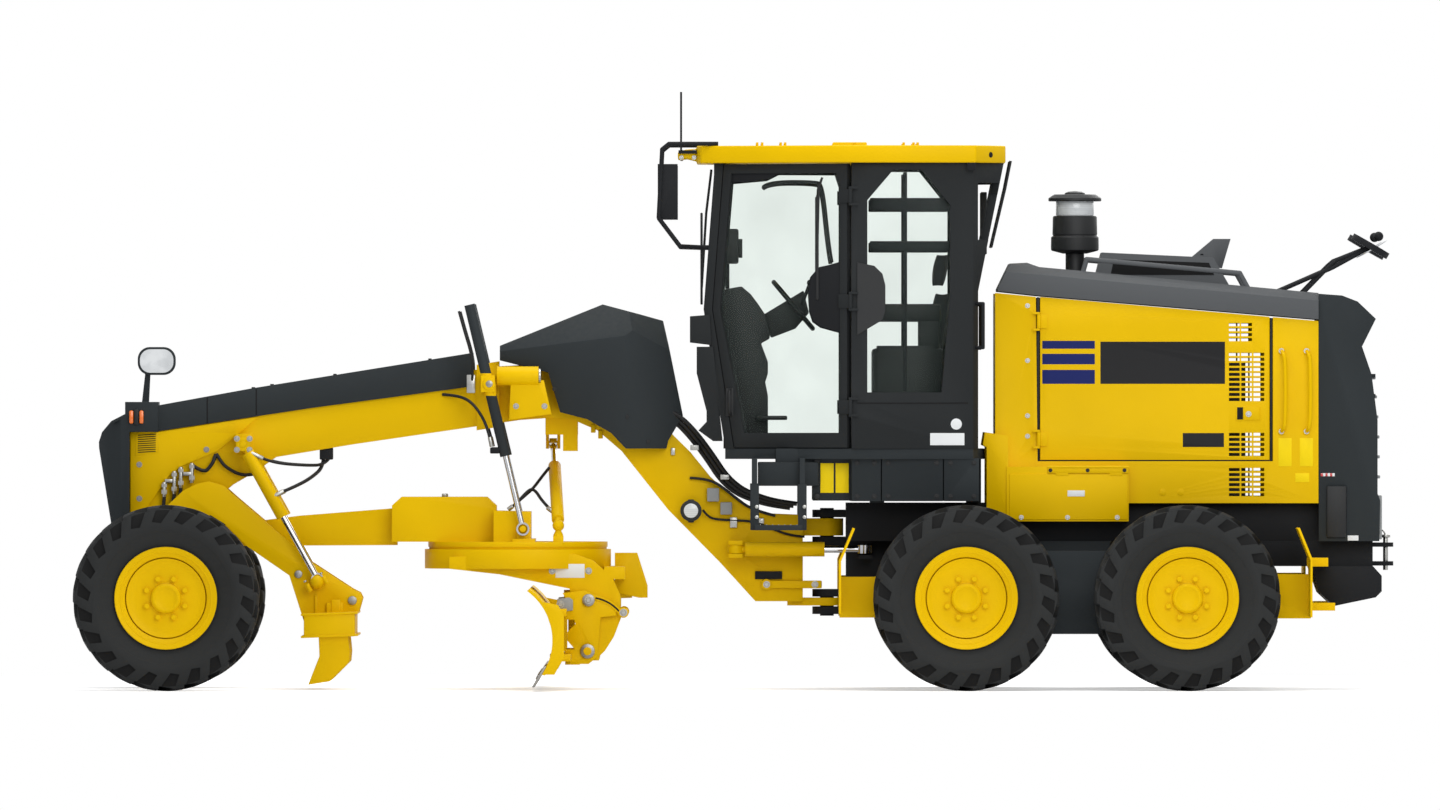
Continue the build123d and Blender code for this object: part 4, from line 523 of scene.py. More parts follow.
YOKED = Zoned("lift_cylinder_paint", "charcoal", CHARCOAL, ((-1.6, -1.385, 1.700, 1.830, TRIM_YELLOW),))
FABRIC = Woven("seat_fabric", "cloth", linear(52, 53, 56))
# The second colour is painted shade for the grooves between the tyre's lugs
RUBBER = Tread("tyre_rubber", "tyre", linear(36, 37, 37), linear(13, 13, 13))
PLASTIC = Moulded("black_plastic", "plastic", linear(33, 34, 35), roughness=0.5)
HOSE = Moulded("hose_rubber", "plastic", linear(26, 26, 27), roughness=0.5, grain=500.0)
STEEL = Bare("bare_steel", "bare_steel", linear(150, 148, 144), roughness=0.36)
ZINC = Bare("zinc_plate", "bare_steel", linear(172, 172, 168), roughness=0.32)
CHROME = Bare("chrome", "chrome", linear(214, 215, 217), roughness=0.1, streak=(60.0, 60.0, 60.0))
MIRROR = Bare("mirror_glass", "mirror", linear(226, 229, 231), roughness=0.04, streak=(2.0, 2.0, 2.0))
GLASS = Pane("window_glass", "window", linear(90, 104, 98))
AMBER = Lamp("amber_lens", "amber", linear(236, 108, 12))
CLEAR = Lamp("clear_lens", "window", linear(196, 199, 200))
RED = Lamp("red_lens", "red", linear(178, 22, 18))
MADE: dict[str, bpy.types.Material] = {}


def material(finish: Finish) -> bpy.types.Material:
    """Give the one material of a finish, made the first time it is asked for.

    Args:
        finish: The finish.

    Returns:
        Its material.
    """
    if finish.name not in MADE:
        MADE[finish.name] = finish.make()
    return MADE[finish.name]


@dataclass
class Studio:
    """The camera, the light and the floor."""

    width: float = 8.352
    centre: Point = (-0.09, 0.0, 1.647)
    lens: float = 600.0
    sky: float = 0.56
    # Lamp, place, size in metres, power in watts
    lights: tuple[tuple[str, Point, float, float], ...] = (
        ("key", (3.5, -12.0, 6.5), 8.0, 680.0), ("back", (5.0, 10.0, 7.0), 7.0, 420.0),
        ("top", (0.0, -1.0, 12.0), 9.0, 900.0),
    )
    aim: Point = (0.0, 0.0, 1.0)
    floor_size: float = 900.0
    floor_glow: float = 0.46
    # Distances from the middle where the floor starts to turn white, and where it is white
    shadow_reach: tuple[float, float] = (4.5, 8.0)

    def build(self) -> None:
        """Set up the view and the light."""
        scene = bpy.context.scene
        scene.view_settings.view_transform = "Standard"
        data = bpy.data.cameras.new("camera")
        camera = bpy.data.objects.new("camera", data)
        scene.collection.objects.link(camera)
        data.lens = self.lens
        distance = self.width * self.lens / data.sensor_width
        camera.location = (self.centre[0], -distance, self.centre[2])
        camera.rotation_euler = (math.pi / 2, 0, 0)
        data.clip_end = distance * 3
        scene.camera = camera
        self.world()
        self.lamps()
        self.floor()

    def world(self) -> None:
        """Light the scene softly, and show white to the camera."""
        world = bpy.data.worlds.new("studio")
        bpy.context.scene.world = world
        world.use_nodes = True
        tree = world.node_tree
        tree.nodes.clear()
        path = tree.nodes.new("ShaderNodeLightPath")
        seen = tree.nodes.new("ShaderNodeMath")
        seen.operation = "MAXIMUM"
        both = tree.nodes.new("ShaderNodeMath")
        both.operation = "MAXIMUM"
        tree.links.new(path.outputs["Is Camera Ray"], seen.inputs[0])
        tree.links.new(path.outputs["Is Transmission Ray"], seen.inputs[1])
        tree.links.new(seen.outputs[0], both.inputs[0])
        tree.links.new(path.outputs["Is Glossy Ray"], both.inputs[1])
        soft = tree.nodes.new("ShaderNodeBackground")
        soft.inputs["Color"].default_value = (0.95, 0.97, 1.0, 1.0)
        soft.inputs["Strength"].default_value = self.sky
        white = tree.nodes.new("ShaderNodeBackground")
        white.inputs["Color"].default_value = (1, 1, 1, 1)
        white.inputs["Strength"].default_value = 1.0
        mix = tree.nodes.new("ShaderNodeMixShader")
        end = tree.nodes.new("ShaderNodeOutputWorld")
        tree.links.new(both.outputs[0], mix.inputs[0])
        tree.links.new(soft.outputs[0], mix.inputs[1])
        tree.links.new(white.outputs[0], mix.inputs[2])
        tree.links.new(mix.outputs[0], end.inputs["Surface"])

    def lamps(self) -> None:
        """Add a wide key lamp over the near side and a weak one from behind."""
        for name, place, size, power in self.lights:
            data = bpy.data.lights.new(name, "AREA")
            data.size = size
            data.energy = power
            lamp = bpy.data.objects.new(name, data)
            bpy.context.scene.collection.objects.link(lamp)
            lamp.location = place
            lamp.rotation_euler = (Vector(self.aim) - Vector(place)).to_track_quat("-Z", "Y").to_euler()

    def floor(self) -> None:
        """Add the pale floor, white where no shadow falls."""
        bpy.ops.object.select_all(action="DESELECT")
        bpy.ops.mesh.primitive_plane_add(size=self.floor_size, location=(0, 0, -0.001))
        floor = bpy.context.object
        floor.name = "floor"
        shop = NodeShop("pale_floor")
        base = shop.node("ShaderNodeBsdfDiffuse", {}, {"Color": (0.9, 0.9, 0.9)})
        glow = shop.node("ShaderNodeEmission", {}, {"Color": (1.0, 1.0, 1.0), "Strength": self.floor_glow})
        white = shop.node("ShaderNodeEmission", {}, {"Color": (1.0, 1.0, 1.0), "Strength": 1.0})
        near = shop.node("ShaderNodeAddShader", {}, {0: base, 1: glow})
        reach = shop.node("ShaderNodeVectorMath", {"operation": "LENGTH"}, {0: shop.place()}, 1)
        fade = shop.span(reach, *self.shadow_reach, 0.0, 1.0)
        seen = shop.node("ShaderNodeMixShader", {}, {0: fade, 1: near, 2: white})
        camera = shop.node("ShaderNodeLightPath", {}, {}, "Is Camera Ray")
        shop.node_out(shop.node("ShaderNodeMixShader", {}, {0: camera, 1: base, 2: seen}))
        floor.data.materials.append(shop.material)


class Workshop:
    """Models pieces with Blender's own tools, one at a time."""

    def __init__(self) -> None:
        """Start with no pieces made."""
        self.count = 0

    @staticmethod
    def clear() -> None:
        """Leave object mode and deselect everything."""
        if bpy.context.object and bpy.context.object.mode != "OBJECT":
            bpy.ops.object.mode_set(mode="OBJECT")
        bpy.ops.object.select_all(action="DESELECT")

    @staticmethod
    def pick(*pieces: Piece) -> None:
        """Select only these pieces, the last one active."""
        Workshop.clear()
        for piece in pieces:
            piece.select_set(True)
        bpy.context.view_layer.objects.active = pieces[-1]

    @staticmethod
    @contextmanager
    def editing() -> Iterator[None]:
        """Work on the whole mesh of the active piece in edit mode."""
        bpy.ops.object.mode_set(mode="EDIT")
        bpy.ops.mesh.select_all(action="SELECT")
        yield
        bpy.ops.object.mode_set(mode="OBJECT")

    def box(self, low: Point, high: Point) -> Piece:
        """Add a block between two corners.

        Args:
            low: Its lowest corner.
            high: Its highest corner.

        Returns:
            The block.
        """
        self.clear()
        bpy.ops.mesh.primitive_cube_add(size=1, location=[(a + b) / 2 for a, b in zip(low, high)],
                                        scale=[b - a for a, b in zip(low, high)])
        return bpy.context.object

    def rod(self, start: Point, end: Point, radius: float, faces: int = 24) -> Piece:
        """Add a round bar between two points.

        Args:
            start: Its first end.
            end: Its second end.
            radius: Its radius.
            faces: How many sides it has.

        Returns:
            The bar.
        """
        self.clear()
        way = Vector(end) - Vector(start)
        bpy.ops.mesh.primitive_cone_add(
            vertices=faces, radius1=radius, radius2=radius, depth=way.length,
            location=Vector(start) + way / 2, rotation=way.to_track_quat("Z", "Y").to_euler())
        return bpy.context.object

    def ball(self, centre: Point, radius: float) -> Piece:
        """Add a ball."""
        self.clear()
        bpy.ops.mesh.primitive_uv_sphere_add(segments=20, ring_count=12, radius=radius, location=centre)
        return bpy.context.object

    def plate(self, points: Outline, start: float, end: float) -> Piece:
        """Cut a plate to an outline and give it its thickness.

        Args:
            points: The outline, X and Z.
            start: The Y of its first face.
            end: The Y of its second face.

        Returns:
            The plate.
        """
        self.clear()
        bpy.ops.mesh.primitive_circle_add(vertices=len(points), radius=1, fill_type="NGON")
        piece = bpy.context.object
        for vertex, (x, z) in zip(piece.data.vertices, points):
            vertex.co = (x, start, z)
        with self.editing():
            bpy.ops.mesh.extrude_region_move(TRANSFORM_OT_translate={"value": (0, end - start, 0)})
            bpy.ops.mesh.select_all(action="SELECT")
            bpy.ops.mesh.normals_make_consistent(inside=False)
        return piece

    def lathe(self, section: Outline, centre: Point, axis: Point, steps: int = 48) -> Piece:
        """Spin a section round an axis.

        Args:
            section: Pairs of distance along the axis and radius, from one end to the other.
            centre: The point where the distance is 0.
            axis: The axis.
            steps: How many faces go round.

        Returns:
            The turned piece.
        """
        self.clear()
        bpy.ops.mesh.primitive_plane_add(size=1)
        piece = bpy.context.object
        with self.editing():
            bpy.ops.mesh.delete(type="ONLY_FACE")
            bpy.ops.mesh.select_all(action="SELECT")
            bpy.ops.mesh.merge(type="CENTER")
            for _ in section[1:]:
                bpy.ops.mesh.extrude_region_move(TRANSFORM_OT_translate={"value": (0, 0, 0.01)})
        order = sorted(piece.data.vertices, key=lambda vertex: vertex.co.z)
        for vertex, (along, radius) in zip(order, section):
            vertex.co = (radius, 0, along)
        with self.editing():
            bpy.ops.mesh.spin(steps=steps, angle=2 * math.pi, center=(0, 0, 0), axis=(0, 0, 1))
            bpy.ops.mesh.select_all(action="SELECT")
            bpy.ops.mesh.remove_doubles(threshold=0.00001)
            bpy.ops.mesh.normals_make_consistent(inside=False)
        turn = Vector(axis).to_track_quat("Z", "Y").to_matrix().to_4x4()
        piece.data.transform(Matrix.Translation(centre) @ turn)
        return piece

    def tube(self, points: Sequence[Point], radius: float, smooth: bool = True) -> Piece:
        """Lead a tube through points.

        Args:
            points: The points.
            radius: The tube's radius.
            smooth: Whether its line is curved or goes in straight runs.

        Returns:
            The tube as a mesh.
        """
        self.clear()
        bpy.ops.curve.primitive_nurbs_path_add()
        piece = bpy.context.object
        data = piece.data
        data.splines.clear()
        spline = data.splines.new("NURBS" if smooth else "POLY")
        spline.points.add(len(points) - 1)
        for point, place in zip(spline.points, points):
            point.co = (*place, 1.0)
        if smooth:
            spline.order_u = 3
            spline.use_endpoint_u = True
        data.dimensions = "3D"
        data.resolution_u = 8
        data.bevel_depth = radius
        data.bevel_resolution = 3
        data.use_fill_caps = True
        piece.location = (0, 0, 0)
        bpy.ops.object.convert(target="MESH")
        return bpy.context.object

    def soften(self, piece: Piece, width: float, segments: int = 2,
               angle: float = 32) -> Piece:
        """Round a piece's edges.

        Args:
            piece: The piece.
            width: How wide the rounding is.
            segments: How many faces go round an edge.
            angle: The least angle of an edge that is rounded, in degrees.

        Returns:
            The same piece.
        """
        self.pick(piece)
        rounding = piece.modifiers.new("edges", "BEVEL")
        rounding.width = width
        rounding.segments = segments
        rounding.limit_method = "ANGLE"
        rounding.angle_limit = math.radians(angle)
        rounding.use_clamp_overlap = True
        bpy.ops.object.modifier_apply(modifier="edges")
        return piece

    def join(self, pieces: Iterable[Piece]) -> Piece:
        """Join pieces into one object."""
        group = list(pieces)
        for piece in group:
            self.rest(piece)
        self.pick(*group)
        bpy.ops.object.join()
        return bpy.context.object

    def rest(self, piece: Piece) -> None:
        """Put a piece's place into its mesh."""
        self.pick(piece)
        bpy.ops.object.transform_apply(location=True, rotation=True, scale=True)

    def mirrored(self, piece: Piece) -> Piece:
        """Give a mirror image of a piece on the other side of the machine.

        Args:
            piece: The piece on one side.

        Returns:
            The piece on the other side, with its own mesh.
        """
        self.rest(piece)
        bpy.ops.object.duplicate()
        twin = bpy.context.object
        twin.data.transform(Matrix.Scale(-1, 4, (0, 1, 0)))
        twin.data.flip_normals()
        return twin

    def hand_over(self, piece: Piece, name: str, finish: Finish, body: str, *nodes: str,
                  angle: float = 35) -> Piece:
        """Name a finished piece, give it its finish and let it ride.

        Args:
            piece: The piece.
            name: Its name.
            finish: Its finish.
            body: The body that it rides on.
            nodes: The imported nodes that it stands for.
            angle: The least angle of an edge that stays sharp, in degrees.

        Returns:
            The same piece.
        """
        self.rest(piece)
        bpy.ops.object.shade_smooth_by_angle(angle=math.radians(angle))
        piece.name = name
        piece.data.name = name
        piece.data.materials.clear()
        piece.data.materials.append(material(finish))
        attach(piece, body)
        if nodes:
            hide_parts(*nodes)
        self.count += 1
        log.info("%s on %s", name, body)
        return piece


SHOP = Workshop()


def body_of(node: str) -> str:
    """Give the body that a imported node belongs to."""
    bodies = frame["record"]["behaviour"]["bodies"]
    return next(body for body, nodes in bodies.items() if node in nodes)


def copy_of(node: str) -> Piece:
    """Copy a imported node's mesh, with its loose triangles joined and its flat faces made whole.

    Args:
        node: The node.

    Returns:
        The copy.
    """
    piece = bpy.data.objects.new(f"{node}_skin", frame["nodes"][node].data.copy())
    bpy.context.scene.collection.objects.link(piece)
    SHOP.pick(piece)
    with SHOP.editing():
        bpy.ops.mesh.remove_doubles(threshold=0.00002)
        bpy.ops.mesh.dissolve_limited(angle_limit=math.radians(0.6))
    return piece


@dataclass
class CarriedOver:
    """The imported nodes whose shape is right: a finish for each, and rounded edges where they show."""

    # Node, finish, width of its rounded edges in metres, with 0 for none
    plan: tuple[tuple[str, Finish, float], ...] = (
        ("rear_frame", BLACK, 0.006), ("tandem_cases", CASES, 0.008), ("engine_block", GREY_IRON, 0.0),
        ("hood_cover", TOPPED, 0.008), ("hood_panels", YELLOW, 0.005),
        ("cab_platform", CHARCOAL, 0.005), ("cab_shell", CAB_PAINT, 0.006), ("cab_roof", YELLOW, 0.014),
        ("cab_glass", GLASS, 0.0), ("controls", PLASTIC, 0.012),
        ("mirrors_and_rails", BLACK, 0.004), ("front_frame", YELLOW, 0.005), ("frame_covers", CHARCOAL, 0.01),
        ("front_axle", BLACK, 0.004), ("lean_bar", BLACK, 0.002), ("tie_rod_ball", STEEL, 0.0),
        ("tie_rod", BLACK, 0.002), ("drawbar", YELLOW, 0.005), ("circle", YELLOW, 0.004),
        ("blade_bracket", YELLOW, 0.003), ("moldboard", YELLOW, 0.003), ("cutting_edge", STEEL, 0.002),
        ("scarifier", YELLOW, 0.004), ("scarifier_arms", YELLOW, 0.004), ("lift_barrels", YOKED, 0.003),
        ("lift_rods", CHROME, 0.0),
        ("shift_rod", CHROME, 0.0), ("shift_barrel", YELLOW, 0.003), ("scarifier_barrels", YELLOW, 0.003),
        ("scarifier_rods", CHROME, 0.0), ("tip_barrel", YELLOW, 0.003), ("tip_rod", CHROME, 0.0),
    )

    def build(self) -> None:
        """Dress every node."""
        for node, finish, width in self.plan:
            self.dress(node, finish, width)
        for side in ("left", "right"):
            for node, finish, width in (
                    (f"lean_bracket_{side}", BLACK, 0.004), (f"knuckle_{side}", BLACK, 0.004),
                    (f"articulation_barrel_{side}", YELLOW, 0.003), (f"articulation_rod_{side}", CHROME, 0.0),
                    (f"cab_door_{side}", CAB_PAINT, 0.006), (f"door_glass_{side}", GLASS, 0.0),
                    (f"hood_door_{side}", STRIPED, 0.005)):
                self.dress(node, finish, width)

    def dress(self, node: str, finish: Finish, width: float) -> None:
        """Give one node its finish.

        Args:
            node: The node.
            finish: Its finish.
            width: The width of its rounded edges, or 0.
        """
        if not width:
            packed = frame["nodes"][node]
            packed.data.materials.clear()
            packed.data.materials.append(material(finish))
            return
        piece = SHOP.soften(copy_of(node), width)
        SHOP.hand_over(piece, f"{node}_skin", finish, body_of(node), node)


# The two bodies that most small parts ride on
REAR = "rear_frame"
FRONT = "front_frame"

# Flat places that small parts stand on, left of the middle
BEAM_FACE = -0.150
CHEEK_FACE = -0.164
BAND_FACE = -0.168
NOSE_FACE = -0.230
HOOD_FACE = -0.520
TOOLBOX_FACE = -0.600
BOX_FACE = -0.740


def door_face(x: float) -> float:
    """Give the Y of the left cab door's outside at x."""
    return -0.430 - 0.4824 * (x + 0.120)


def side_face(x: float) -> float:
    """Give the Y of the left rear side panel of the cab at x."""
    return -0.800 + 0.0714 * (x - 0.670)


def both_sides(name: str, finish: Finish, body: str, left: Piece) -> None:
    """Hand over a piece on the left and its mirror image on the right.

    Args:
        name: The name, without its side.
        finish: The finish.
        body: The body, with {side} where its name holds the side.
        left: The left piece.
    """
    right = SHOP.mirrored(left)
    for side, piece in (("left", left), ("right", right)):
        SHOP.hand_over(piece, f"{name}_{side}", finish, body.format(side=side))


def block(low: Point, high: Point, width: float = 0.003) -> Piece:
    """Make a block with rounded edges."""
    return SHOP.soften(SHOP.box(low, high), width)


def round_bar(start: Point, end: Point, radius: float, width: float = 0.002, faces: int = 28) -> Piece:
    """Make a round bar with rounded ends."""
    return SHOP.soften(SHOP.rod(start, end, radius, faces), width)


def panel(points: Outline, start: float, end: float, width: float) -> Piece:
    """Make a plate with rounded edges."""
    return SHOP.soften(SHOP.plate(points, start, end), width)


@dataclass
class Fastener:
    """A hexagon bolt on its washer, copied wherever one is needed."""

    radius: float = 0.011
    height: float = 0.008
    finish: Finish | None = None

    def model(self) -> Piece:
        """Model one bolt at the origin, its head towards -Y."""
        washer = SHOP.rod((0, 0.001, 0), (0, -0.0025, 0), self.radius * 1.4, 20)
        head = SHOP.rod((0, -0.002, 0), (0, -0.002 - self.height, 0), self.radius, 6)
        head = SHOP.soften(head, self.radius * 0.12, 1)
        return SHOP.join((washer, head))

    def place(self, name: str, body: str, spots: Sequence[Point], both: bool = False,
              up: bool = False) -> None:
        """Set copies of the bolt in place.

        Args:
            name: The name of the set.
            body: The body that the bolts are on.
            spots: Their places on the left side.
            both: Whether the right side has them too.
            up: Whether their heads point up.
        """
        first = self.model()
        if up:
            first.data.transform(Matrix.Rotation(-math.pi / 2, 4, "X"))
        pieces = [carry(first, Matrix.Translation(spot), name) for spot in spots]
        if both:
            pieces += [SHOP.mirrored(piece) for piece in pieces]
        bpy.data.objects.remove(first)
        SHOP.hand_over(SHOP.join(pieces), name, self.finish or ZINC, body)


def carry(piece: Piece, place: Matrix, name: str) -> Piece:
    """Copy a piece with its own mesh to a place.

    Args:
        piece: The piece.
        place: Where the copy stands.
        name: The copy's name.

    Returns:
        The copy.
    """
    SHOP.rest(piece)
    twin = bpy.data.objects.new(name, piece.data.copy())
    bpy.context.scene.collection.objects.link(twin)
    twin.data.transform(place)
    return twin


@dataclass
class Wheels:
    """Rim, hub, bolts and valve of the six wheels, modelled once on the left and copied."""

    # Wheel, X of its axle, side
    places: tuple[tuple[str, float, Side], ...] = (
        ("front_left", -3.28, Side.LEFT), ("front_right", -3.28, Side.RIGHT),
        ("tandem_front_left", 1.3285, Side.LEFT), ("tandem_front_right", 1.3285, Side.RIGHT),
        ("tandem_rear_left", 2.6015, Side.LEFT), ("tandem_rear_right", 2.6015, Side.RIGHT),
    )
    axle_z: float = 0.535
    middle_y: float = 0.925
    # Distance outwards from the rim's middle and radius, from the hub cap round the flange to the back
    section: Outline = (
        (0.134, 0.0), (0.1345, 0.04), (0.14, 0.056), (0.146, 0.066), (0.146, 0.074), (0.138, 0.085),
        (0.116, 0.0885), (0.113, 0.093), (0.113, 0.14), (0.112, 0.17), (0.114, 0.195), (0.121, 0.214),
        (0.128, 0.224), (0.129, 0.228), (0.125, 0.2295), (0.096, 0.23), (0.096, 0.2345), (0.132, 0.235),
        (0.137, 0.2375), (0.147, 0.252), (0.157, 0.27), (0.165, 0.286), (0.168, 0.293), (0.164, 0.296),
        (0.159, 0.2955),
        (0.156, 0.29), (0.156, 0.263), (0.152, 0.262), (-0.152, 0.262), (-0.156, 0.263), (-0.156, 0.29),
        (-0.16, 0.2955), (-0.166, 0.295), (-0.17, 0.29), (-0.17, 0.246), (0.03, 0.246), (0.086, 0.155),
        (0.086, 0.1), (0.08, 0.087), (-0.058, 0.087), (-0.058, 0.0),
    )
    bolt_count: int = 8
    bolt_circle: float = 0.119

    def build(self) -> None:
        """Make every wheel."""
        rim = SHOP.lathe(self.section, (0, 0, 0), (0, -1, 0), 72)
        bolt = Fastener(0.0175, 0.022).model()
        valve = SHOP.rod((0.084, -0.06, -0.203), (0.084, -0.098, -0.2), 0.008, 12)
        cap = round_bar((0.084, -0.096, -0.2), (0.084, -0.112, -0.199), 0.011, 0.002, 12)
        stem = SHOP.join((valve, cap))
        for name, x, side in self.places:
            body = f"wheel_{name}"
            spin = Matrix.Translation((x, side.value * self.middle_y, self.axle_z))
            if side is Side.RIGHT:
                spin = spin @ Matrix.Rotation(math.pi, 4, "Z")
            nuts = []
            for index in range(self.bolt_count):
                turn = Matrix.Rotation((index + 0.5) * 2 * math.pi / self.bolt_count, 4, "Y")
                way = turn @ Matrix.Translation((0, -0.113, self.bolt_circle))
                nuts.append(carry(bolt, spin @ way, f"nut_{name}_{index}"))
            whole = SHOP.join([*nuts, carry(rim, spin, f"rim_{name}_skin")])
            SHOP.hand_over(whole, f"rim_{name}_skin", YELLOW, body, f"rim_{name}", angle=28)
            SHOP.hand_over(carry(stem, spin, f"valve_{name}"), f"valve_{name}", PLASTIC, body)
            tyre = SHOP.soften(copy_of(f"tyre_{name}"), 0.005, 2, 24)
            SHOP.hand_over(tyre, f"tyre_{name}_skin", RUBBER, body, f"tyre_{name}")
        for piece in (rim, bolt, stem):
            bpy.data.objects.remove(piece)


@dataclass
class EngineHood:
    """Fasteners, latch, handles, toolbox fittings and blank plates of the hood's sides."""

    handle_xs: tuple[float, float] = (3.164, 3.309)
    handle_span: tuple[float, float] = (1.494, 1.96)

    def build(self) -> None:
        """Make everything on both sides."""
        Fastener(0.01, 0.006).place("hood_front_bolts", REAR, [
            (1.687, HOOD_FACE, z) for z in (2.221, 1.904, 1.585, 1.467)], both=True)
        Fastener(0.01, 0.006).place("toolbox_bolts", REAR, [
            (x, TOOLBOX_FACE - 0.005, 0.998) for x in (1.65, 1.917, 2.204)], both=True)
        Fastener(0.008, 0.005, PLASTIC).place("toolbox_hinge_bolts", REAR, [
            (x, TOOLBOX_FACE - 0.009, 1.27) for x in (1.818, 2.033, 2.246)], both=True)
        self.handles()
        both_sides("toolbox_lid", YELLOW, REAR, self.lid())
        both_sides("toolbox_plate", WHITE, REAR, block(
            (1.917, TOOLBOX_FACE - 0.008, 1.119), (2.016, TOOLBOX_FACE - 0.005, 1.154), 0.0008))
        self.latch()
        self.stickers()
        both_sides("hood_seal", HOSE, REAR, self.seal())

    def handles(self) -> None:
        """Bend the two upright grab handles on the rear panel."""
        low, high = self.handle_span
        far = HOOD_FACE - 0.055
        for index, x in enumerate(self.handle_xs):
            loop = SHOP.tube([(x - 0.01, HOOD_FACE - 0.004, low), (x, far + 0.01, low + 0.01),
                              (x + 0.012, far, low + 0.06), (x + 0.012, far, high - 0.06),
                              (x, far + 0.01, high - 0.01), (x - 0.01, HOOD_FACE - 0.004, high)], 0.011)
            feet = [round_bar((x - 0.01, HOOD_FACE + 0.002, z), (x - 0.01, HOOD_FACE - 0.008, z), 0.02)
                    for z in self.handle_span]
            both_sides(f"hood_handle_{index}", YELLOW, REAR, SHOP.join([loop, *feet]))
        Fastener(0.011, 0.007).place("hood_handle_bolts", REAR, [
            (x - 0.01, HOOD_FACE - 0.008, z) for x in self.handle_xs for z in self.handle_span], both=True)

    @staticmethod
    def lid() -> Piece:
        """Fold the toolbox's lid with its hinge flange, tabs and hinge roll."""
        sheet = block((1.581, TOOLBOX_FACE - 0.006, 0.985), (2.262, TOOLBOX_FACE + 0.002, 1.248))
        flange = block((1.801, TOOLBOX_FACE - 0.009, 1.253), (2.27, TOOLBOX_FACE + 0.002, 1.286))
        tabs = [block((x, TOOLBOX_FACE - 0.008, 1.238), (x + 0.075, TOOLBOX_FACE, 1.259))
                for x in (1.847, 2.16)]
        roll = SHOP.rod((1.801, TOOLBOX_FACE - 0.004, 1.288), (2.27, TOOLBOX_FACE - 0.004, 1.288), 0.008, 16)
        return SHOP.join([flange, *tabs, roll, sheet])

    @staticmethod
    def latch() -> None:
        """Sink the door's latch: painted shade for its recess, its slider plate and the lock's bolt."""
        body = "hood_door_{side}"
        both_sides("hood_latch_frame", YELLOW, body, block(
            (2.89, HOOD_FACE - 0.003, 1.555), (3.035, HOOD_FACE + 0.002, 1.642), 0.002))
        # A thin dark block of painted shade where the latch's recess is
        both_sides("hood_latch_recess_shade", SHADE, body, block(
            (2.898, HOOD_FACE - 0.0045, 1.563), (2.932, HOOD_FACE - 0.001, 1.634), 0.001))
        both_sides("hood_latch_slider", YELLOW, body, block(
            (2.934, HOOD_FACE - 0.007, 1.561), (3.027, HOOD_FACE, 1.636), 0.002))
        lock = Fastener(0.012, 0.006).model()
        lock.data.transform(Matrix.Translation((2.964, HOOD_FACE - 0.007, 1.595)))
        both_sides("hood_lock", ZINC, body, lock)

    @staticmethod
    def stickers() -> None:
        """Press the round knockouts under the door, and add the blank stickers."""
        both_sides("hood_discs", YELLOW, REAR, SHOP.join([
            round_bar((x, HOOD_FACE + 0.002, z), (x, HOOD_FACE - 0.002, z), 0.02, 0.001, 32)
            for x, z in ((2.468, 1.143), (2.572, 1.143))]))
        for name, low, high in (("front", (3.137, 1.293), (3.213, 1.456)),
                                ("rear", (3.26, 1.293), (3.336, 1.456)),
                                ("low", (3.234, 1.201), (3.315, 1.253))):
            both_sides(f"hood_sticker_{name}", LEMON, REAR, block(
                (low[0], HOOD_FACE - 0.0015, low[1]), (high[0], HOOD_FACE + 0.001, high[1]), 0.0005))

    @staticmethod
    def seal() -> Piece:
        """Fill the gaps round the door with dark rubber."""
        return SHOP.join([block(low, high) for low, high in (
            ((1.739, HOOD_FACE + 0.012, 1.325), (1.757, HOOD_FACE + 0.03, 2.27)),
            ((3.088, HOOD_FACE + 0.012, 1.09), (3.102, HOOD_FACE + 0.03, 2.15)),
            ((1.745, HOOD_FACE + 0.012, 1.32), (3.09, HOOD_FACE + 0.03, 1.331)))])


@dataclass
class HoodTop:
    """The precleaner with its clear bowl, and the box on the hood."""

    axis_x: float = 1.968
    # Piece, finish, pairs of height and radius
    bands: tuple[tuple[str, Finish, Outline], ...] = (
        ("stem", PLASTIC, ((2.4, 0.0), (2.4, 0.056), (2.412, 0.06), (2.43, 0.054), (2.535, 0.054),
                           (2.535, 0.0))),
        ("drum", PLASTIC, ((2.525, 0.0), (2.525, 0.07), (2.541, 0.132), (2.546, 0.138), (2.56, 0.139),
                           (2.618, 0.138), (2.624, 0.134), (2.626, 0.128), (2.632, 0.127), (2.636, 0.13),
                           (2.735, 0.128), (2.742, 0.124), (2.744, 0.118), (2.744, 0.0))),
        ("bowl", CLEAR, ((2.743, 0.0), (2.743, 0.106), (2.75, 0.11), (2.822, 0.11), (2.831, 0.106),
                         (2.831, 0.0))),
        ("cap", PLASTIC, ((2.828, 0.0), (2.828, 0.15), (2.833, 0.154), (2.846, 0.153), (2.862, 0.13),
                          (2.868, 0.118), (2.869, 0.06), (2.876, 0.058), (2.884, 0.04), (2.888, 0.0))),
    )

    def build(self) -> None:
        """Make the precleaner and what is round it."""
        for name, finish, section in self.bands:
            piece = SHOP.lathe(section, (self.axis_x, 0, 0), (0, 0, 1), 64)
            nodes = ("precleaner",) if name == "drum" else ()
            SHOP.hand_over(piece, f"precleaner_{name}", finish, REAR, *nodes, angle=30)
        spots = [(x, y, 2.515) for x in (2.19, 2.7) for y in (-0.24, 0.24)]
        Fastener(0.009, 0.006, BLACK).place("top_box_bolts", REAR, spots, up=True)
        # A thin dark plate of painted shade where the pocket under the box is
        both_sides("top_box_pocket_shade", SHADE, REAR, SHOP.plate(
            ((2.17, 2.4), (2.19, 2.49), (2.74, 2.47), (2.77, 2.4)), -0.3015, -0.299))


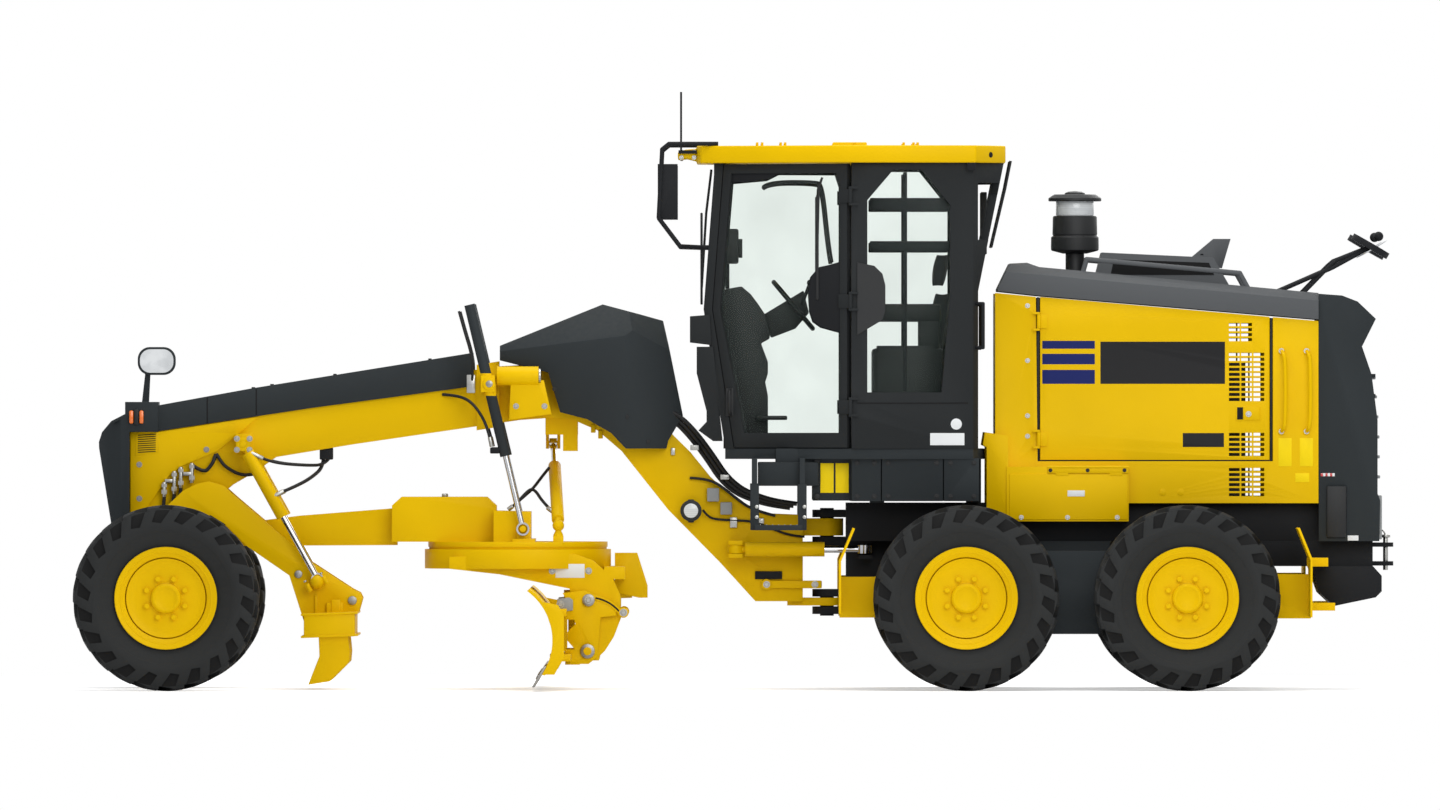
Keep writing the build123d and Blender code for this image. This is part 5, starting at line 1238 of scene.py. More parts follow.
@dataclass
class Operator:
    """The seat, the steering console, the levers and the monitor in the cab."""

    def build(self) -> None:
        """Make the inside of the cab."""
        self.seat()
        self.console()
        self.controls()

    def seat(self) -> None:
        """Make the seat's pedestal and its three cushions."""
        pedestal = SHOP.join([
            block((0.935, -0.135, 1.432), (1.145, 0.135, 1.64), 0.02),
            block((0.905, -0.165, 1.64), (1.165, 0.165, 1.78), 0.018),
        ])
        SHOP.hand_over(pedestal, "seat_pedestal", PLASTIC, REAR)
        self.cushion("seat_cushion", (0.845, -0.235, 1.782), (1.195, 0.235, 1.9), 0.0, ("seat",))
        self.cushion("seat_back", (1.085, -0.215, 1.87), (1.195, 0.215, 2.3), 0.14, ())
        self.cushion("seat_headrest", (1.13, -0.13, 2.335), (1.215, 0.13, 2.52), 0.14, ())

    @staticmethod
    def console() -> None:
        """Make the steering console with its column and pedals."""
        console = panel((
            (-0.105, 2.31), (0.035, 2.335), (0.088, 2.29), (0.128, 2.237), (0.168, 2.177), (0.2, 2.084),
            (0.198, 2.031), (0.148, 2.004), (0.188, 1.897), (0.188, 1.83), (0.148, 1.698), (0.096, 1.688),
            (0.105, 1.52), (-0.045, 1.52), (-0.1, 2.0)), -0.136, 0.136, 0.008)
        column = panel((
            (0.16, 2.17), (0.395, 2.312), (0.426, 2.18), (0.348, 2.09), (0.205, 2.035)), -0.105, 0.105, 0.01)
        pedals = [block((0.12, y - 0.04, 1.56), (0.3, y + 0.04, 1.585), 0.008) for y in (-0.16, 0.16)]
        SHOP.hand_over(SHOP.join([console, column, *pedals]), "console", PLASTIC, REAR)

    @staticmethod
    def controls() -> None:
        """Make the levers, the monitor, the seat's consoles and the red mark."""
        lever_ys = (-0.125, -0.06, 0.06, 0.125)
        stalks = [round_bar((0.385, y, 2.23), (0.43, y * 1.05, 2.35), 0.01) for y in lever_ys]
        knobs = [SHOP.ball((0.432, y * 1.05, 2.356), 0.018) for y in lever_ys]
        SHOP.hand_over(SHOP.join([*stalks, *knobs]), "levers", PLASTIC, REAR)
        monitor = SHOP.join([block((-0.09, -0.11, 2.466), (0.018, 0.11, 2.668), 0.012),
                             block((0.018, -0.03, 2.5), (0.04, -0.022, 2.61), 0.003),
                             block((-0.06, -0.02, 2.32), (-0.035, 0.02, 2.47), 0.005)])
        SHOP.hand_over(monitor, "monitor", PLASTIC, REAR)
        both_sides("seat_console", PLASTIC, REAR, SHOP.join([
            block((0.79, -0.33, 1.56), (1.205, -0.248, 1.975), 0.02),
            block((0.8, -0.325, 2.13), (1.19, -0.255, 2.232), 0.018),
            block((1.06, -0.315, 1.96), (1.18, -0.262, 2.15), 0.012)]))
        label = block((0.06, -0.1395, 2.108), (0.092, -0.135, 2.152), 0.001)
        SHOP.hand_over(label, "console_mark", RED, REAR)

    @staticmethod
    def cushion(name: str, low: Point, high: Point, lean: float, nodes: tuple[str, ...]) -> None:
        """Pad one cushion: a crowned closed form, its sides pulled in between its corners, with a seam.

        Args:
            name: The cushion's name.
            low: Its lowest corner.
            high: Its highest corner.
            lean: How far its top leans back, in metres to a metre.
            nodes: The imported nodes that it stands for.
        """
        piece = SHOP.box(low, high)
        SHOP.rest(piece)
        with SHOP.editing():
            bpy.ops.mesh.subdivide(number_cuts=7)
        middle = (Vector(low) + Vector(high)) / 2
        half = (Vector(high) - Vector(low)) / 2
        thin = min(range(3), key=lambda axis: half[axis])
        wide = [axis for axis in range(3) if axis != thin]
        crown_share, seam_pull, side_pull = 0.28, 0.05, 0.03
        for vertex in piece.data.vertices:
            share = [(vertex.co[axis] - middle[axis]) / half[axis] for axis in range(3)]
            crown = (1 - share[wide[0]] ** 2) * (1 - share[wide[1]] ** 2)
            pull = 1 - seam_pull * max(0.0, 1 - share[thin] ** 2) ** 0.5
            rise = 1 - crown_share * (1 - crown)
            vertex.co[thin] = middle[thin] + share[thin] * half[thin] * rise
            for axis in wide:
                other = share[wide[1] if axis == wide[0] else wide[0]]
                slim = (1 - side_pull * (1 - other ** 2)) * pull
                vertex.co[axis] = middle[axis] + share[axis] * half[axis] * slim
            vertex.co.x += lean * (vertex.co.z - low[2])
        SHOP.pick(piece)
        smooth = piece.modifiers.new("padding", "SUBSURF")
        smooth.levels = 2
        smooth.render_levels = 2
        bpy.ops.object.modifier_apply(modifier="padding")
        SHOP.hand_over(piece, name, FABRIC, REAR, *nodes, angle=60)


@dataclass
class CabFittings:
    """Handles, wipers, window bars, lock plates and blank stickers of the cab."""

    def build(self) -> None:
        """Make everything outside the cab and on its windows."""
        both_sides("door_handle", PLASTIC, "cab_door_{side}", self.handle())
        both_sides("door_header", BLACK, "cab_door_{side}", self.header())
        both_sides("door_grab_bar", PLASTIC, "cab_door_{side}", self.grab_bar())
        both_sides("door_wiper", PLASTIC, "cab_door_{side}", self.door_wiper())
        both_sides("door_lock_plate", BLACK, "cab_door_{side}", self.on_door((
            (0.614, 2.477), (0.541, 2.456), (0.481, 2.443), (0.434, 2.39), (0.421, 2.31), (0.428, 2.19),
            (0.448, 2.13), (0.494, 2.097), (0.614, 2.064)), 0.01, 0.002))
        both_sides("side_lock_plate", PLASTIC, REAR, self.side_lock())
        both_sides("window_bars", BLACK, REAR, self.bars())
        # A thin dark strip of painted shade along the seam of the side panel
        both_sides("side_seam_shade", SHADE, REAR, self.on_side(
            ((0.7, 1.655), (1.34, 1.655), (1.34, 1.661), (0.7, 1.661)), -0.0005, -0.003))
        y = side_face(1.273)
        both_sides("round_sticker", WHITE, REAR, round_bar(
            (1.273, y - 0.0025, 1.537), (1.273, y + 0.001, 1.537), 0.032, 0.0006, 40))
        both_sides("side_blank_plate", WHITE, REAR, self.on_side(
            ((1.122, 1.415), (1.32, 1.415), (1.32, 1.485), (1.122, 1.485)), 0.0, -0.002))
        both_sides("rear_wiper", PLASTIC, REAR, SHOP.join([
            SHOP.tube([(1.592, -0.3, 3.06), (1.56, -0.29, 2.9), (1.48, -0.25, 2.56)], 0.008, False),
            block((1.42, -0.265, 2.52), (1.455, -0.235, 2.88), 0.004)]))
        self.roof()
        both_sides("front_wiper", PLASTIC, REAR, SHOP.join([
            SHOP.tube([(-0.14, -0.3, 3.01), (-0.17, -0.295, 2.76), (-0.196, -0.25, 2.33)], 0.007, False),
            block((-0.204, -0.262, 2.23), (-0.19, -0.244, 2.76), 0.004)]))

    @staticmethod
    def on_door(points: Outline, near: float, far: float) -> Piece:
        """Lay a plate on the left door's glass.

        Args:
            points: Its outline, X and Z.
            near: How far its outside stands off the glass, in metres.
            far: How far its inside stands off it.

        Returns:
            The plate.
        """
        plate = SHOP.plate(points, -1.0, -0.99)
        SHOP.rest(plate)
        for vertex in plate.data.vertices:
            outside = vertex.co.y < -0.995
            vertex.co.y = door_face(vertex.co.x) + 0.02 - (near if outside else far)
        return SHOP.soften(plate, 0.002)

    @staticmethod
    def on_side(points: Outline, near: float, far: float) -> Piece:
        """Lay a plate on the left rear side panel.

        Args:
            points: Its outline, X and Z.
            near: How far its inside is sunk, in metres.
            far: How far its outside stands, less than 0 for outwards.

        Returns:
            The plate.
        """
        plate = SHOP.plate(points, -1.0, -0.99)
        SHOP.rest(plate)
        for vertex in plate.data.vertices:
            outside = vertex.co.y < -0.995
            vertex.co.y = side_face(vertex.co.x) + (far if outside else 0.002 + near)
        return SHOP.soften(plate, 0.0008, 1)

    @staticmethod
    def handle() -> Piece:
        """Make the door's pull handle with its lock."""
        y = door_face(-0.03)
        grip = SHOP.tube([(-0.03, y - 0.002, 1.735), (-0.034, y - 0.04, 1.725), (-0.034, y - 0.048, 1.69),
                          (-0.034, y - 0.048, 1.64), (-0.034, y - 0.04, 1.6), (-0.03, y - 0.002, 1.59)], 0.01)
        plate = block((-0.058, y - 0.008, 1.583), (0.002, y + 0.012, 1.745), 0.006)
        return SHOP.join([grip, plate])

    def header(self) -> Piece:
        """Close the top of the door's window above the slanted edge of its glass."""
        return self.on_door(((-0.085, 2.99), (-0.085, 2.925), (0.183, 2.95), (0.258, 2.988)), 0.004, -0.002)

    @staticmethod
    def grab_bar() -> Piece:
        """Bend the grab bar inside the door."""
        way = [(0.16, 2.905), (0.189, 2.935), (0.46, 2.935), (0.502, 2.915), (0.537, 2.56), (0.554, 2.47)]
        return SHOP.tube([(x, door_face(x) + 0.07, z) for x, z in way], 0.012)

    @staticmethod
    def door_wiper() -> Piece:
        """Make the wiper on the door's glass."""
        arm = SHOP.tube([(0.5, door_face(0.5) + 0.004, 2.96), (0.48, door_face(0.48) - 0.004, 2.9),
                         (0.472, door_face(0.472) - 0.002, 2.56)], 0.007, False)
        blade = block((0.464, door_face(0.472) + 0.002, 2.256), (0.48, door_face(0.472) + 0.014, 2.86), 0.004)
        return SHOP.join([arm, blade])

    def side_lock(self) -> Piece:
        """Make the catch plate beside the door."""
        return self.on_side(((0.701, 2.47), (0.8, 2.45), (0.847, 2.404), (0.864, 2.337), (0.864, 2.19),
                             (0.847, 2.137), (0.701, 2.05)), 0.001, -0.008)

    @staticmethod
    def bars() -> Piece:
        """Make the bars inside the rear side window."""
        y = side_face(1.0) + 0.075
        return SHOP.join([block((0.775, y, 2.772), (1.235, y + 0.022, 2.842), 0.006),
                          block((0.775, y, 2.535), (1.235, y + 0.022, 2.593), 0.006),
                          block((0.966, y + 0.004, 1.73), (0.99, y + 0.02, 2.99), 0.004)])

    @staticmethod
    def roof() -> None:
        """Make the roof's hatch, pins and rear trim, and the lamp bracket's bolts."""
        both_sides("roof_hatch", YELLOW, REAR, block(
            (0.571, -0.24, 3.138), (0.711, 0.0, 3.163), 0.008))
        both_sides("roof_pins", YELLOW, REAR, SHOP.join([
            round_bar((x, -0.42, 3.14), (x, -0.42, 3.166), 0.0075) for x in
            (0.125, 0.154, 0.261, 0.287, 0.69, 0.972, 1.029, 1.053)]))
        both_sides("roof_strip", BLACK, REAR, block(
            (1.334, -0.792, 3.0), (1.386, -0.784, 3.14), 0.003))
        # A small round mark of painted shade near the roof's rear corner
        both_sides("roof_shade_mark", SHADE, REAR, round_bar(
            (1.47, -0.6615, 3.091), (1.474, -0.6655, 3.091), 0.016, 0.0006, 24))
        spots = [(x, -0.413, z) for x in (-0.313, -0.24) for z in (3.078, 3.112)]
        Fastener(0.009, 0.005).place("lamp_bracket_bolts", REAR, spots, both=True)


@dataclass
class Nose:
    """Lamps, louvre, mirror, hose couplings and fasteners at the front end."""

    slot_count: int = 9
    lowest_slot: float = 1.37
    slot_pitch: float = 0.0124

    def build(self) -> None:
        """Make everything on the nose."""
        for name, x in (("front", -3.499), ("rear", -3.44)):
            both_sides(f"marker_lamp_{name}", AMBER, FRONT, self.lens(x))
        both_sides("lamp_block", PLASTIC, FRONT, block(
            (-3.484, NOSE_FACE - 0.012, 1.53), (-3.456, NOSE_FACE, 1.624), 0.005))
        # Painted shade: dark strips stand for the louvre's slots
        both_sides("louvre_slot_shade", SHADE, FRONT, self.louvre())
        both_sides("cheek_edge", YELLOW, FRONT, panel(
            ((-3.478, 1.352), (-3.344, 1.372), (-3.344, 1.492), (-3.478, 1.492)),
            CHEEK_FACE + 0.002, CHEEK_FACE - 0.002, 0.0015))
        Fastener(0.012, 0.007, STEEL).place("nose_bolts", FRONT, (
            (-3.454, CHEEK_FACE, 1.302), (-3.454, CHEEK_FACE, 1.105), (-3.065, CHEEK_FACE, 1.389)), both=True)
        SHOP.hand_over(self.mirror_glass(), "nose_mirror_glass", MIRROR, FRONT)
        both_sides("nose_highlight", CHARCOAL, FRONT, panel(
            ((-3.612, 1.548), (-3.536, 1.588), (-3.536, 1.575), (-3.604, 1.54)),
            NOSE_FACE + 0.03, NOSE_FACE - 0.001, 0.004))
        self.couplings()

    @staticmethod
    def lens(x: float) -> Piece:
        """Make one upright pill lens at x."""
        return block((x - 0.0125, NOSE_FACE - 0.022, 1.538), (x + 0.0125, NOSE_FACE - 0.001, 1.616), 0.01)

    def louvre(self) -> Piece:
        """Lay thin slanted strips of painted shade where the louvre's slots are, one over another."""
        slots = []
        for index in range(self.slot_count):
            z = self.lowest_slot + index * self.slot_pitch
            slots.append(SHOP.plate(
                ((-3.462, z), (-3.359, z + 0.006), (-3.359, z + 0.011), (-3.462, z + 0.005)),
                CHEEK_FACE - 0.0035, CHEEK_FACE - 0.001))
        return SHOP.join(slots)

    @staticmethod
    def mirror_glass() -> Piece:
        """Make the mirror's glass inside its rim."""
        glass = SHOP.box((-3.452, -0.0965, 1.834), (-3.258, -0.094, 1.97))
        SHOP.rest(glass)
        corners = glass.modifiers.new("corners", "BEVEL")
        corners.width = 0.06
        corners.segments = 8
        corners.limit_method = "WEIGHT"
        weight = glass.data.attributes.new("bevel_weight_edge", "FLOAT", "EDGE")
        for edge in glass.data.edges:
            first, second = (glass.data.vertices[i].co for i in edge.vertices)
            weight.data[edge.index].value = 1.0 if abs(first.y - second.y) > 0.001 else 0.0
        SHOP.pick(glass)
        bpy.ops.object.modifier_apply(modifier="corners")
        return glass

    @staticmethod
    def couplings() -> None:
        """Make the row of hose couplings, their clamps and the short hoses."""
        # X, lower end, upper end
        rows = ((-3.309, 1.114, 1.201), (-3.251, 1.131, 1.264), (-3.213, 1.166, 1.288),
                (-3.149, 1.195, 1.311))
        pieces = []
        for x, low, high in rows:
            y = BEAM_FACE - 0.03
            pieces += [round_bar((x, y, low), (x, y, high), 0.012),
                       SHOP.rod((x, y, low + 0.018), (x, y, low + 0.042), 0.018, 6),
                       SHOP.rod((x, y, high - 0.03), (x, y, high - 0.01), 0.017, 6)]
        pieces += [block((-3.305, BEAM_FACE - 0.042, 1.196), (-3.262, BEAM_FACE, 1.218)),
                   block((-3.199, BEAM_FACE - 0.042, 1.237), (-3.152, BEAM_FACE, 1.259))]
        SHOP.hand_over(SHOP.join(pieces), "hose_couplings", ZINC, FRONT)
        y = BEAM_FACE - 0.028
        SHOP.hand_over(SHOP.join([
            SHOP.tube([(-3.013, BEAM_FACE - 0.004, 1.357), (-3.02, y, 1.33), (-3.036, y, 1.299),
                       (-3.08, y, 1.25), (-3.149, y, 1.3)], 0.011),
            SHOP.tube([(-3.007, BEAM_FACE - 0.004, 1.363), (-2.975, y, 1.31), (-2.944, y, 1.282),
                       (-2.874, y, 1.243), (-2.804, BEAM_FACE - 0.014, 1.241),
                       (-2.72, BEAM_FACE - 0.01, 1.262)], 0.01),
            SHOP.tube([(-3.309, y, 1.12), (-3.312, y, 1.05), (-3.33, y, 0.98)], 0.011),
            SHOP.tube([(-3.251, y, 1.135), (-3.256, y, 1.06), (-3.3, y, 0.985)], 0.011),
            SHOP.tube([(-3.213, y, 1.17), (-3.214, y, 1.09), (-3.262, y, 1.0)], 0.011)]),
            "nose_hoses", HOSE, FRONT)


@dataclass
class Beam:
    """Cover fasteners, hoses, clamps, work lamp, relays and the lock link along the frame."""

    # Points of the three thick hoses under the gooseneck cover, X and Z
    bundle: Outline = ((-0.438, 1.6), (-0.36, 1.56), (-0.264, 1.462), (-0.17, 1.335), (-0.09, 1.212),
                       (0.0, 1.135), (0.096, 1.096), (0.2, 1.065), (0.316, 1.05))

    def build(self) -> None:
        """Make everything along the beam."""
        # Painted shade: thin dark blocks stand for the gaps at the band's seams
        both_sides("band_seam_shade", SHADE, FRONT, SHOP.join([
            block((x - 0.004, BAND_FACE - 0.0012, low), (x + 0.004, BAND_FACE + 0.002, high), 0.001)
            for x, low, high in ((-3.06, 1.538, 1.69), (-2.776, 1.588, 1.741))]))
        Fastener(0.01, 0.006, PLASTIC).place("cover_bolts", FRONT, (
            (-0.629, -0.325, 1.58), (-0.508, -0.277, 1.436), (-1.047, -0.287, 1.74)), both=True)
        Fastener(0.01, 0.009, PLASTIC).place("band_bolts", FRONT, (
            (-2.796, -0.12, 1.74), (-2.688, -0.12, 1.758), (-2.323, -0.12, 1.817), (-1.772, -0.12, 1.906)),
            both=True, up=True)
        both_sides("frame_hoses", HOSE, FRONT, self.hoses())
        both_sides("hose_clamps", ZINC, FRONT, SHOP.join([
            block((-0.262, BEAM_FACE - 0.075, 1.385), (-0.212, BEAM_FACE - 0.002, 1.415)),
            block((-0.088, BEAM_FACE - 0.075, 1.215), (-0.036, BEAM_FACE - 0.002, 1.245))]))
        both_sides("work_lamp", PLASTIC, FRONT, self.lamp())
        both_sides("work_lamp_glass", CLEAR, FRONT, round_bar(
            (-0.258, BEAM_FACE - 0.092, 1.035), (-0.258, BEAM_FACE - 0.098, 1.035), 0.042, 0.002, 32))
        both_sides("relay_boxes", GREY, FRONT, SHOP.join([
            block((-0.165, BEAM_FACE - 0.05, 1.088), (-0.095, BEAM_FACE - 0.002, 1.166), 0.006),
            block((-0.088, BEAM_FACE - 0.044, 1.012), (-0.02, BEAM_FACE - 0.002, 1.084), 0.006)]))
        both_sides("frame_clips", ZINC, FRONT, SHOP.join([
            block((-0.032, BEAM_FACE - 0.018, 0.936), (0.009, BEAM_FACE - 0.001, 0.996)),
            block((-0.374, BEAM_FACE - 0.016, 1.357), (-0.351, BEAM_FACE - 0.001, 1.398)),
            block((0.13, BEAM_FACE - 0.014, 0.96), (0.165, BEAM_FACE - 0.001, 0.992))]))
        both_sides("arch_ribs", YELLOW, FRONT, SHOP.join([
            block((-0.838, BEAM_FACE - 0.012, 1.486), (-0.812, BEAM_FACE, 1.534), 0.004),
            block((-0.796, BEAM_FACE - 0.012, 1.452), (-0.77, BEAM_FACE, 1.5), 0.004)]))
        self.lock_link()

    def hoses(self) -> Piece:
        """Lead the hoses from under the cover to the frame's joint."""
        thick = [SHOP.tube([(x + 0.02 * index, BEAM_FACE - 0.016 - 0.019 * index, z + 0.012 * index)
                            for x, z in self.bundle], 0.013) for index in range(3)]
        near = BEAM_FACE - 0.012
        thin = [SHOP.tube([(-0.264, near, 1.224), (-0.2, near - 0.008, 1.222), (-0.119, near - 0.02, 1.201),
                           (-0.05, near - 0.02, 1.15), (-0.003, near - 0.012, 1.112), (0.096, near, 1.038),
                           (0.23, near, 1.005)], 0.008),
                SHOP.tube([(-0.189, near - 0.03, 1.038), (-0.16, near - 0.02, 1.0), (-0.113, near, 0.984),
                           (0.0, near, 0.978), (0.096, near, 0.974), (0.2, near, 0.935), (0.316, near, 0.89),
                           (0.4, near, 0.884)], 0.007)]
        return SHOP.join([*thick, *thin])

    @staticmethod
    def lamp() -> Piece:
        """Make the round work lamp and its bracket."""
        shell = SHOP.lathe(((0.0, 0.0), (0.0, 0.04), (0.02, 0.052), (0.055, 0.06), (0.072, 0.062),
                            (0.074, 0.056), (0.074, 0.0)), (-0.258, BEAM_FACE - 0.018, 1.035), (0, -1, 0), 40)
        bracket = block((-0.275, BEAM_FACE - 0.024, 0.966), (-0.241, BEAM_FACE, 1.1), 0.004)
        return SHOP.join([shell, bracket])

    @staticmethod
    def lock_link() -> None:
        """Make the articulation lock with its lever, valve and pins."""
        y = BEAM_FACE - 0.004
        SHOP.hand_over(SHOP.join([
            block((0.171, y - 0.02, 0.585), (0.5, y, 0.63), 0.006),
            round_bar((0.18, y + 0.001, 0.6075), (0.18, y - 0.024, 0.6075), 0.032, 0.004, 32)]),
            "lock_link", YELLOW, FRONT)
        SHOP.hand_over(block((0.113, y - 0.01, 0.638), (0.27, y + 0.004, 0.684), 0.004), "lock_plate", BLACK,
                       FRONT)
        Fastener(0.014, 0.01).place("lock_bolts", FRONT, (
            (0.18, y - 0.024, 0.6075), (0.46, y - 0.02, 0.6075)))


@dataclass
class BladeGear:
    """Fasteners, shoes, pins and blank plate of the lift cylinders, circle and blade bracket."""

    bracket_face: float = -0.486

    def build(self) -> None:
        """Make everything on the blade gear."""
        self.lift_cylinders()
        self.bracket()
        self.arms()
        self.edge_bolts()
        Fastener(0.02, 0.018).place("drawbar_cap_bolt", "drawbar", (
            (-1.685, -0.1, 1.113),), both=True, up=True)
        self.lift_hoses()
        self.shift_cylinder()

    @staticmethod
    def lift_cylinders() -> None:
        """Make the bosses, pins and bolts of the lift cylinders' yokes and arms."""
        both_sides("yoke_boss", YELLOW, "lift_barrels", round_bar(
            (-1.424, -0.43, 1.769), (-1.424, -0.4545, 1.769), 0.036, 0.004))
        both_sides("yoke_pin", STEEL, "lift_barrels", round_bar(
            (-1.424, -0.45, 1.769), (-1.424, -0.46, 1.769), 0.02))
        both_sides("lift_arm_cap", ZINC, FRONT, round_bar(
            (-1.142, -0.35, 1.815), (-1.126, -0.35, 1.815), 0.046, 0.004))
        Fastener(0.012, 0.008).place("saddle_bolts", FRONT, (
            (-1.27, -0.371, 1.64), (-1.105, -0.371, 1.64)), both=True)

    def bracket(self) -> None:
        """Make the shoe, the curved slot with its painted shade, and the bolts of the blade's tilting bracket.
        """
        face = self.bracket_face
        both_sides("blade_shoe_upper", GREY, "blade_bracket", panel(
            ((-1.035, 0.47), (-1.01, 0.452), (-0.94, 0.46), (-0.94, 0.52), (-0.96, 0.534), (-1.03, 0.528)),
            face - 0.012, face + 0.002, 0.004))
        # Painted shade: a thin dark arc where the curved slot is
        both_sides("bracket_slot", SHADE, "blade_bracket", SHOP.plate(
            self.arc(0.005), face - 0.0045, face - 0.002))
        both_sides("bracket_slot_rim", YELLOW, "blade_bracket", SHOP.soften(
            SHOP.plate(self.arc(0.014), face - 0.004, face + 0.002), 0.002, 1))
        both_sides("bracket_slot_end", YELLOW, "blade_bracket", round_bar(
            (-0.648, face + 0.012, 0.447), (-0.648, face - 0.005, 0.447), 0.03, 0.003))
        both_sides("bracket_round_bolt", STEEL, "blade_bracket", round_bar(
            (-0.85, face + 0.002, 0.519), (-0.85, face - 0.016, 0.519), 0.036, 0.004))
        Fastener(0.016, 0.012).place("bracket_bolts", "blade_bracket", (
            (-0.85, face - 0.016, 0.519), (-0.648, face - 0.005, 0.447), (-1.012, face - 0.012, 0.495)),
            both=True)

    @staticmethod
    def arms() -> None:
        """Make the pivots, the bare plates and the bolts of the circle's blade arms."""
        both_sides("blade_pivot_ring", STEEL, "circle", round_bar(
            (-0.856, -0.493, 0.224), (-0.856, -0.502, 0.224), 0.042, 0.003))
        both_sides("blade_pivot_cap", YELLOW, "circle", round_bar(
            (-0.856, -0.5, 0.224), (-0.856, -0.509, 0.224), 0.024, 0.003))
        both_sides("arm_blank_plate", WHITE, "circle", block(
            (-1.041, -0.4515, 0.648), (-0.873, -0.449, 0.728), 0.0008))
        Fastener(0.014, 0.01).place("arm_bolts", "circle", (
            (-1.06, -0.45, 0.688), (-0.85, -0.45, 0.688)), both=True)

    @staticmethod
    def lift_hoses() -> None:
        """Lead the hoses to the lift cylinders."""
        both_sides("lift_hose", HOSE, FRONT, SHOP.join([
            SHOP.tube([(-1.697, -0.158, 1.708), (-1.61, -0.2, 1.702), (-1.53, -0.3, 1.668),
                       (-1.46, -0.39, 1.575), (-1.422, -0.4, 1.47), (-1.412, -0.4, 1.405)], 0.009),
            SHOP.tube([(-1.6, -0.4, 2.19), (-1.57, -0.4, 2.08), (-1.53, -0.395, 1.95), (-1.518, -0.38, 1.85),
                       (-1.524, -0.35, 1.79)], 0.008)]))
        both_sides("lift_hose_fittings", ZINC, FRONT, SHOP.join([
            round_bar((-1.422, -0.4, 1.462), (-1.41, -0.4, 1.405), 0.012),
            block((-1.556, -0.356, 1.716), (-1.506, -0.338, 1.822), 0.005)]))
        both_sides("lift_hose_elbow", BLACK, "lift_barrels", block(
            (-1.42, -0.418, 1.366), (-1.365, -0.385, 1.402), 0.006))

    @staticmethod
    def shift_cylinder() -> None:
        """Make the centre shift cylinder's hoses and the ball at its foot."""
        hoses = SHOP.join([
            SHOP.tube([(-1.082, 0.03, 1.282), (-1.12, -0.04, 1.235), (-1.175, -0.12, 1.16),
                       (-1.24, -0.18, 1.105), (-1.3, -0.19, 1.052)], 0.009),
            SHOP.tube([(-1.26, -0.17, 1.085), (-1.2, -0.15, 1.16), (-1.16, -0.17, 1.155),
                       (-1.12, -0.23, 1.09), (-1.06, -0.28, 1.03)], 0.009)])
        SHOP.hand_over(hoses, "shift_hoses", HOSE, "drawbar")
        fittings = SHOP.join([round_bar((-1.318, -0.19, 1.04), (-1.29, -0.19, 1.062), 0.013),
                              round_bar((-1.088, -0.262, 1.052), (-1.048, -0.29, 1.022), 0.013)])
        SHOP.hand_over(fittings, "shift_hose_fittings", ZINC, "drawbar")
        stud = SHOP.lathe(
            ((0.0, 0.0), (0.0, 0.03), (0.01, 0.028), (0.03, 0.018), (0.058, 0.016), (0.058, 0.0)),
            (-1.025, -0.42, 0.888), (0, 0, 1), 28)
        SHOP.hand_over(stud, "shift_foot_stud", YELLOW, "drawbar")
        ball = SHOP.soften(SHOP.ball((-1.025, -0.42, 0.95), 0.034), 0.001)
        SHOP.hand_over(ball, "shift_foot_ball", YELLOW, "shift_barrel")

    @staticmethod
    def arc(half: float) -> Outline:
        """Give the outline of the bracket's curved slot.

        Args:
            half: Half its width.

        Returns:
            Its points, X and Z.
        """
        (x, z), middle, steps = (-0.85, 0.3), 0.235, 8
        turns = [math.radians(80 - 44 * index / steps) for index in range(steps + 1)]
        outer, inner = ([(x + radius * math.cos(turn), z + radius * math.sin(turn)) for turn in turns]
                        for radius in (middle + half, middle - half))
        return [*outer, *reversed(inner)]

    @staticmethod
    def edge_bolts() -> None:
        """Set the round-headed bolts along the blade's cutting edge."""
        low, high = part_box("cutting_edge")
        head = round_bar((0.002, 0, -0.001), (-0.006, 0, 0.0034), 0.018, 0.003, 16)
        count, inset = 14, 0.12
        ys = [low[1] + inset + index * (high[1] - low[1] - 2 * inset) / (count - 1) for index in range(count)]
        bolts = [carry(head, Matrix.Translation((-1.136, y, 0.0875)), "edge_bolt") for y in ys]
        bpy.data.objects.remove(head)
        SHOP.hand_over(SHOP.join(bolts), "edge_bolts", STEEL, body_of("cutting_edge"))


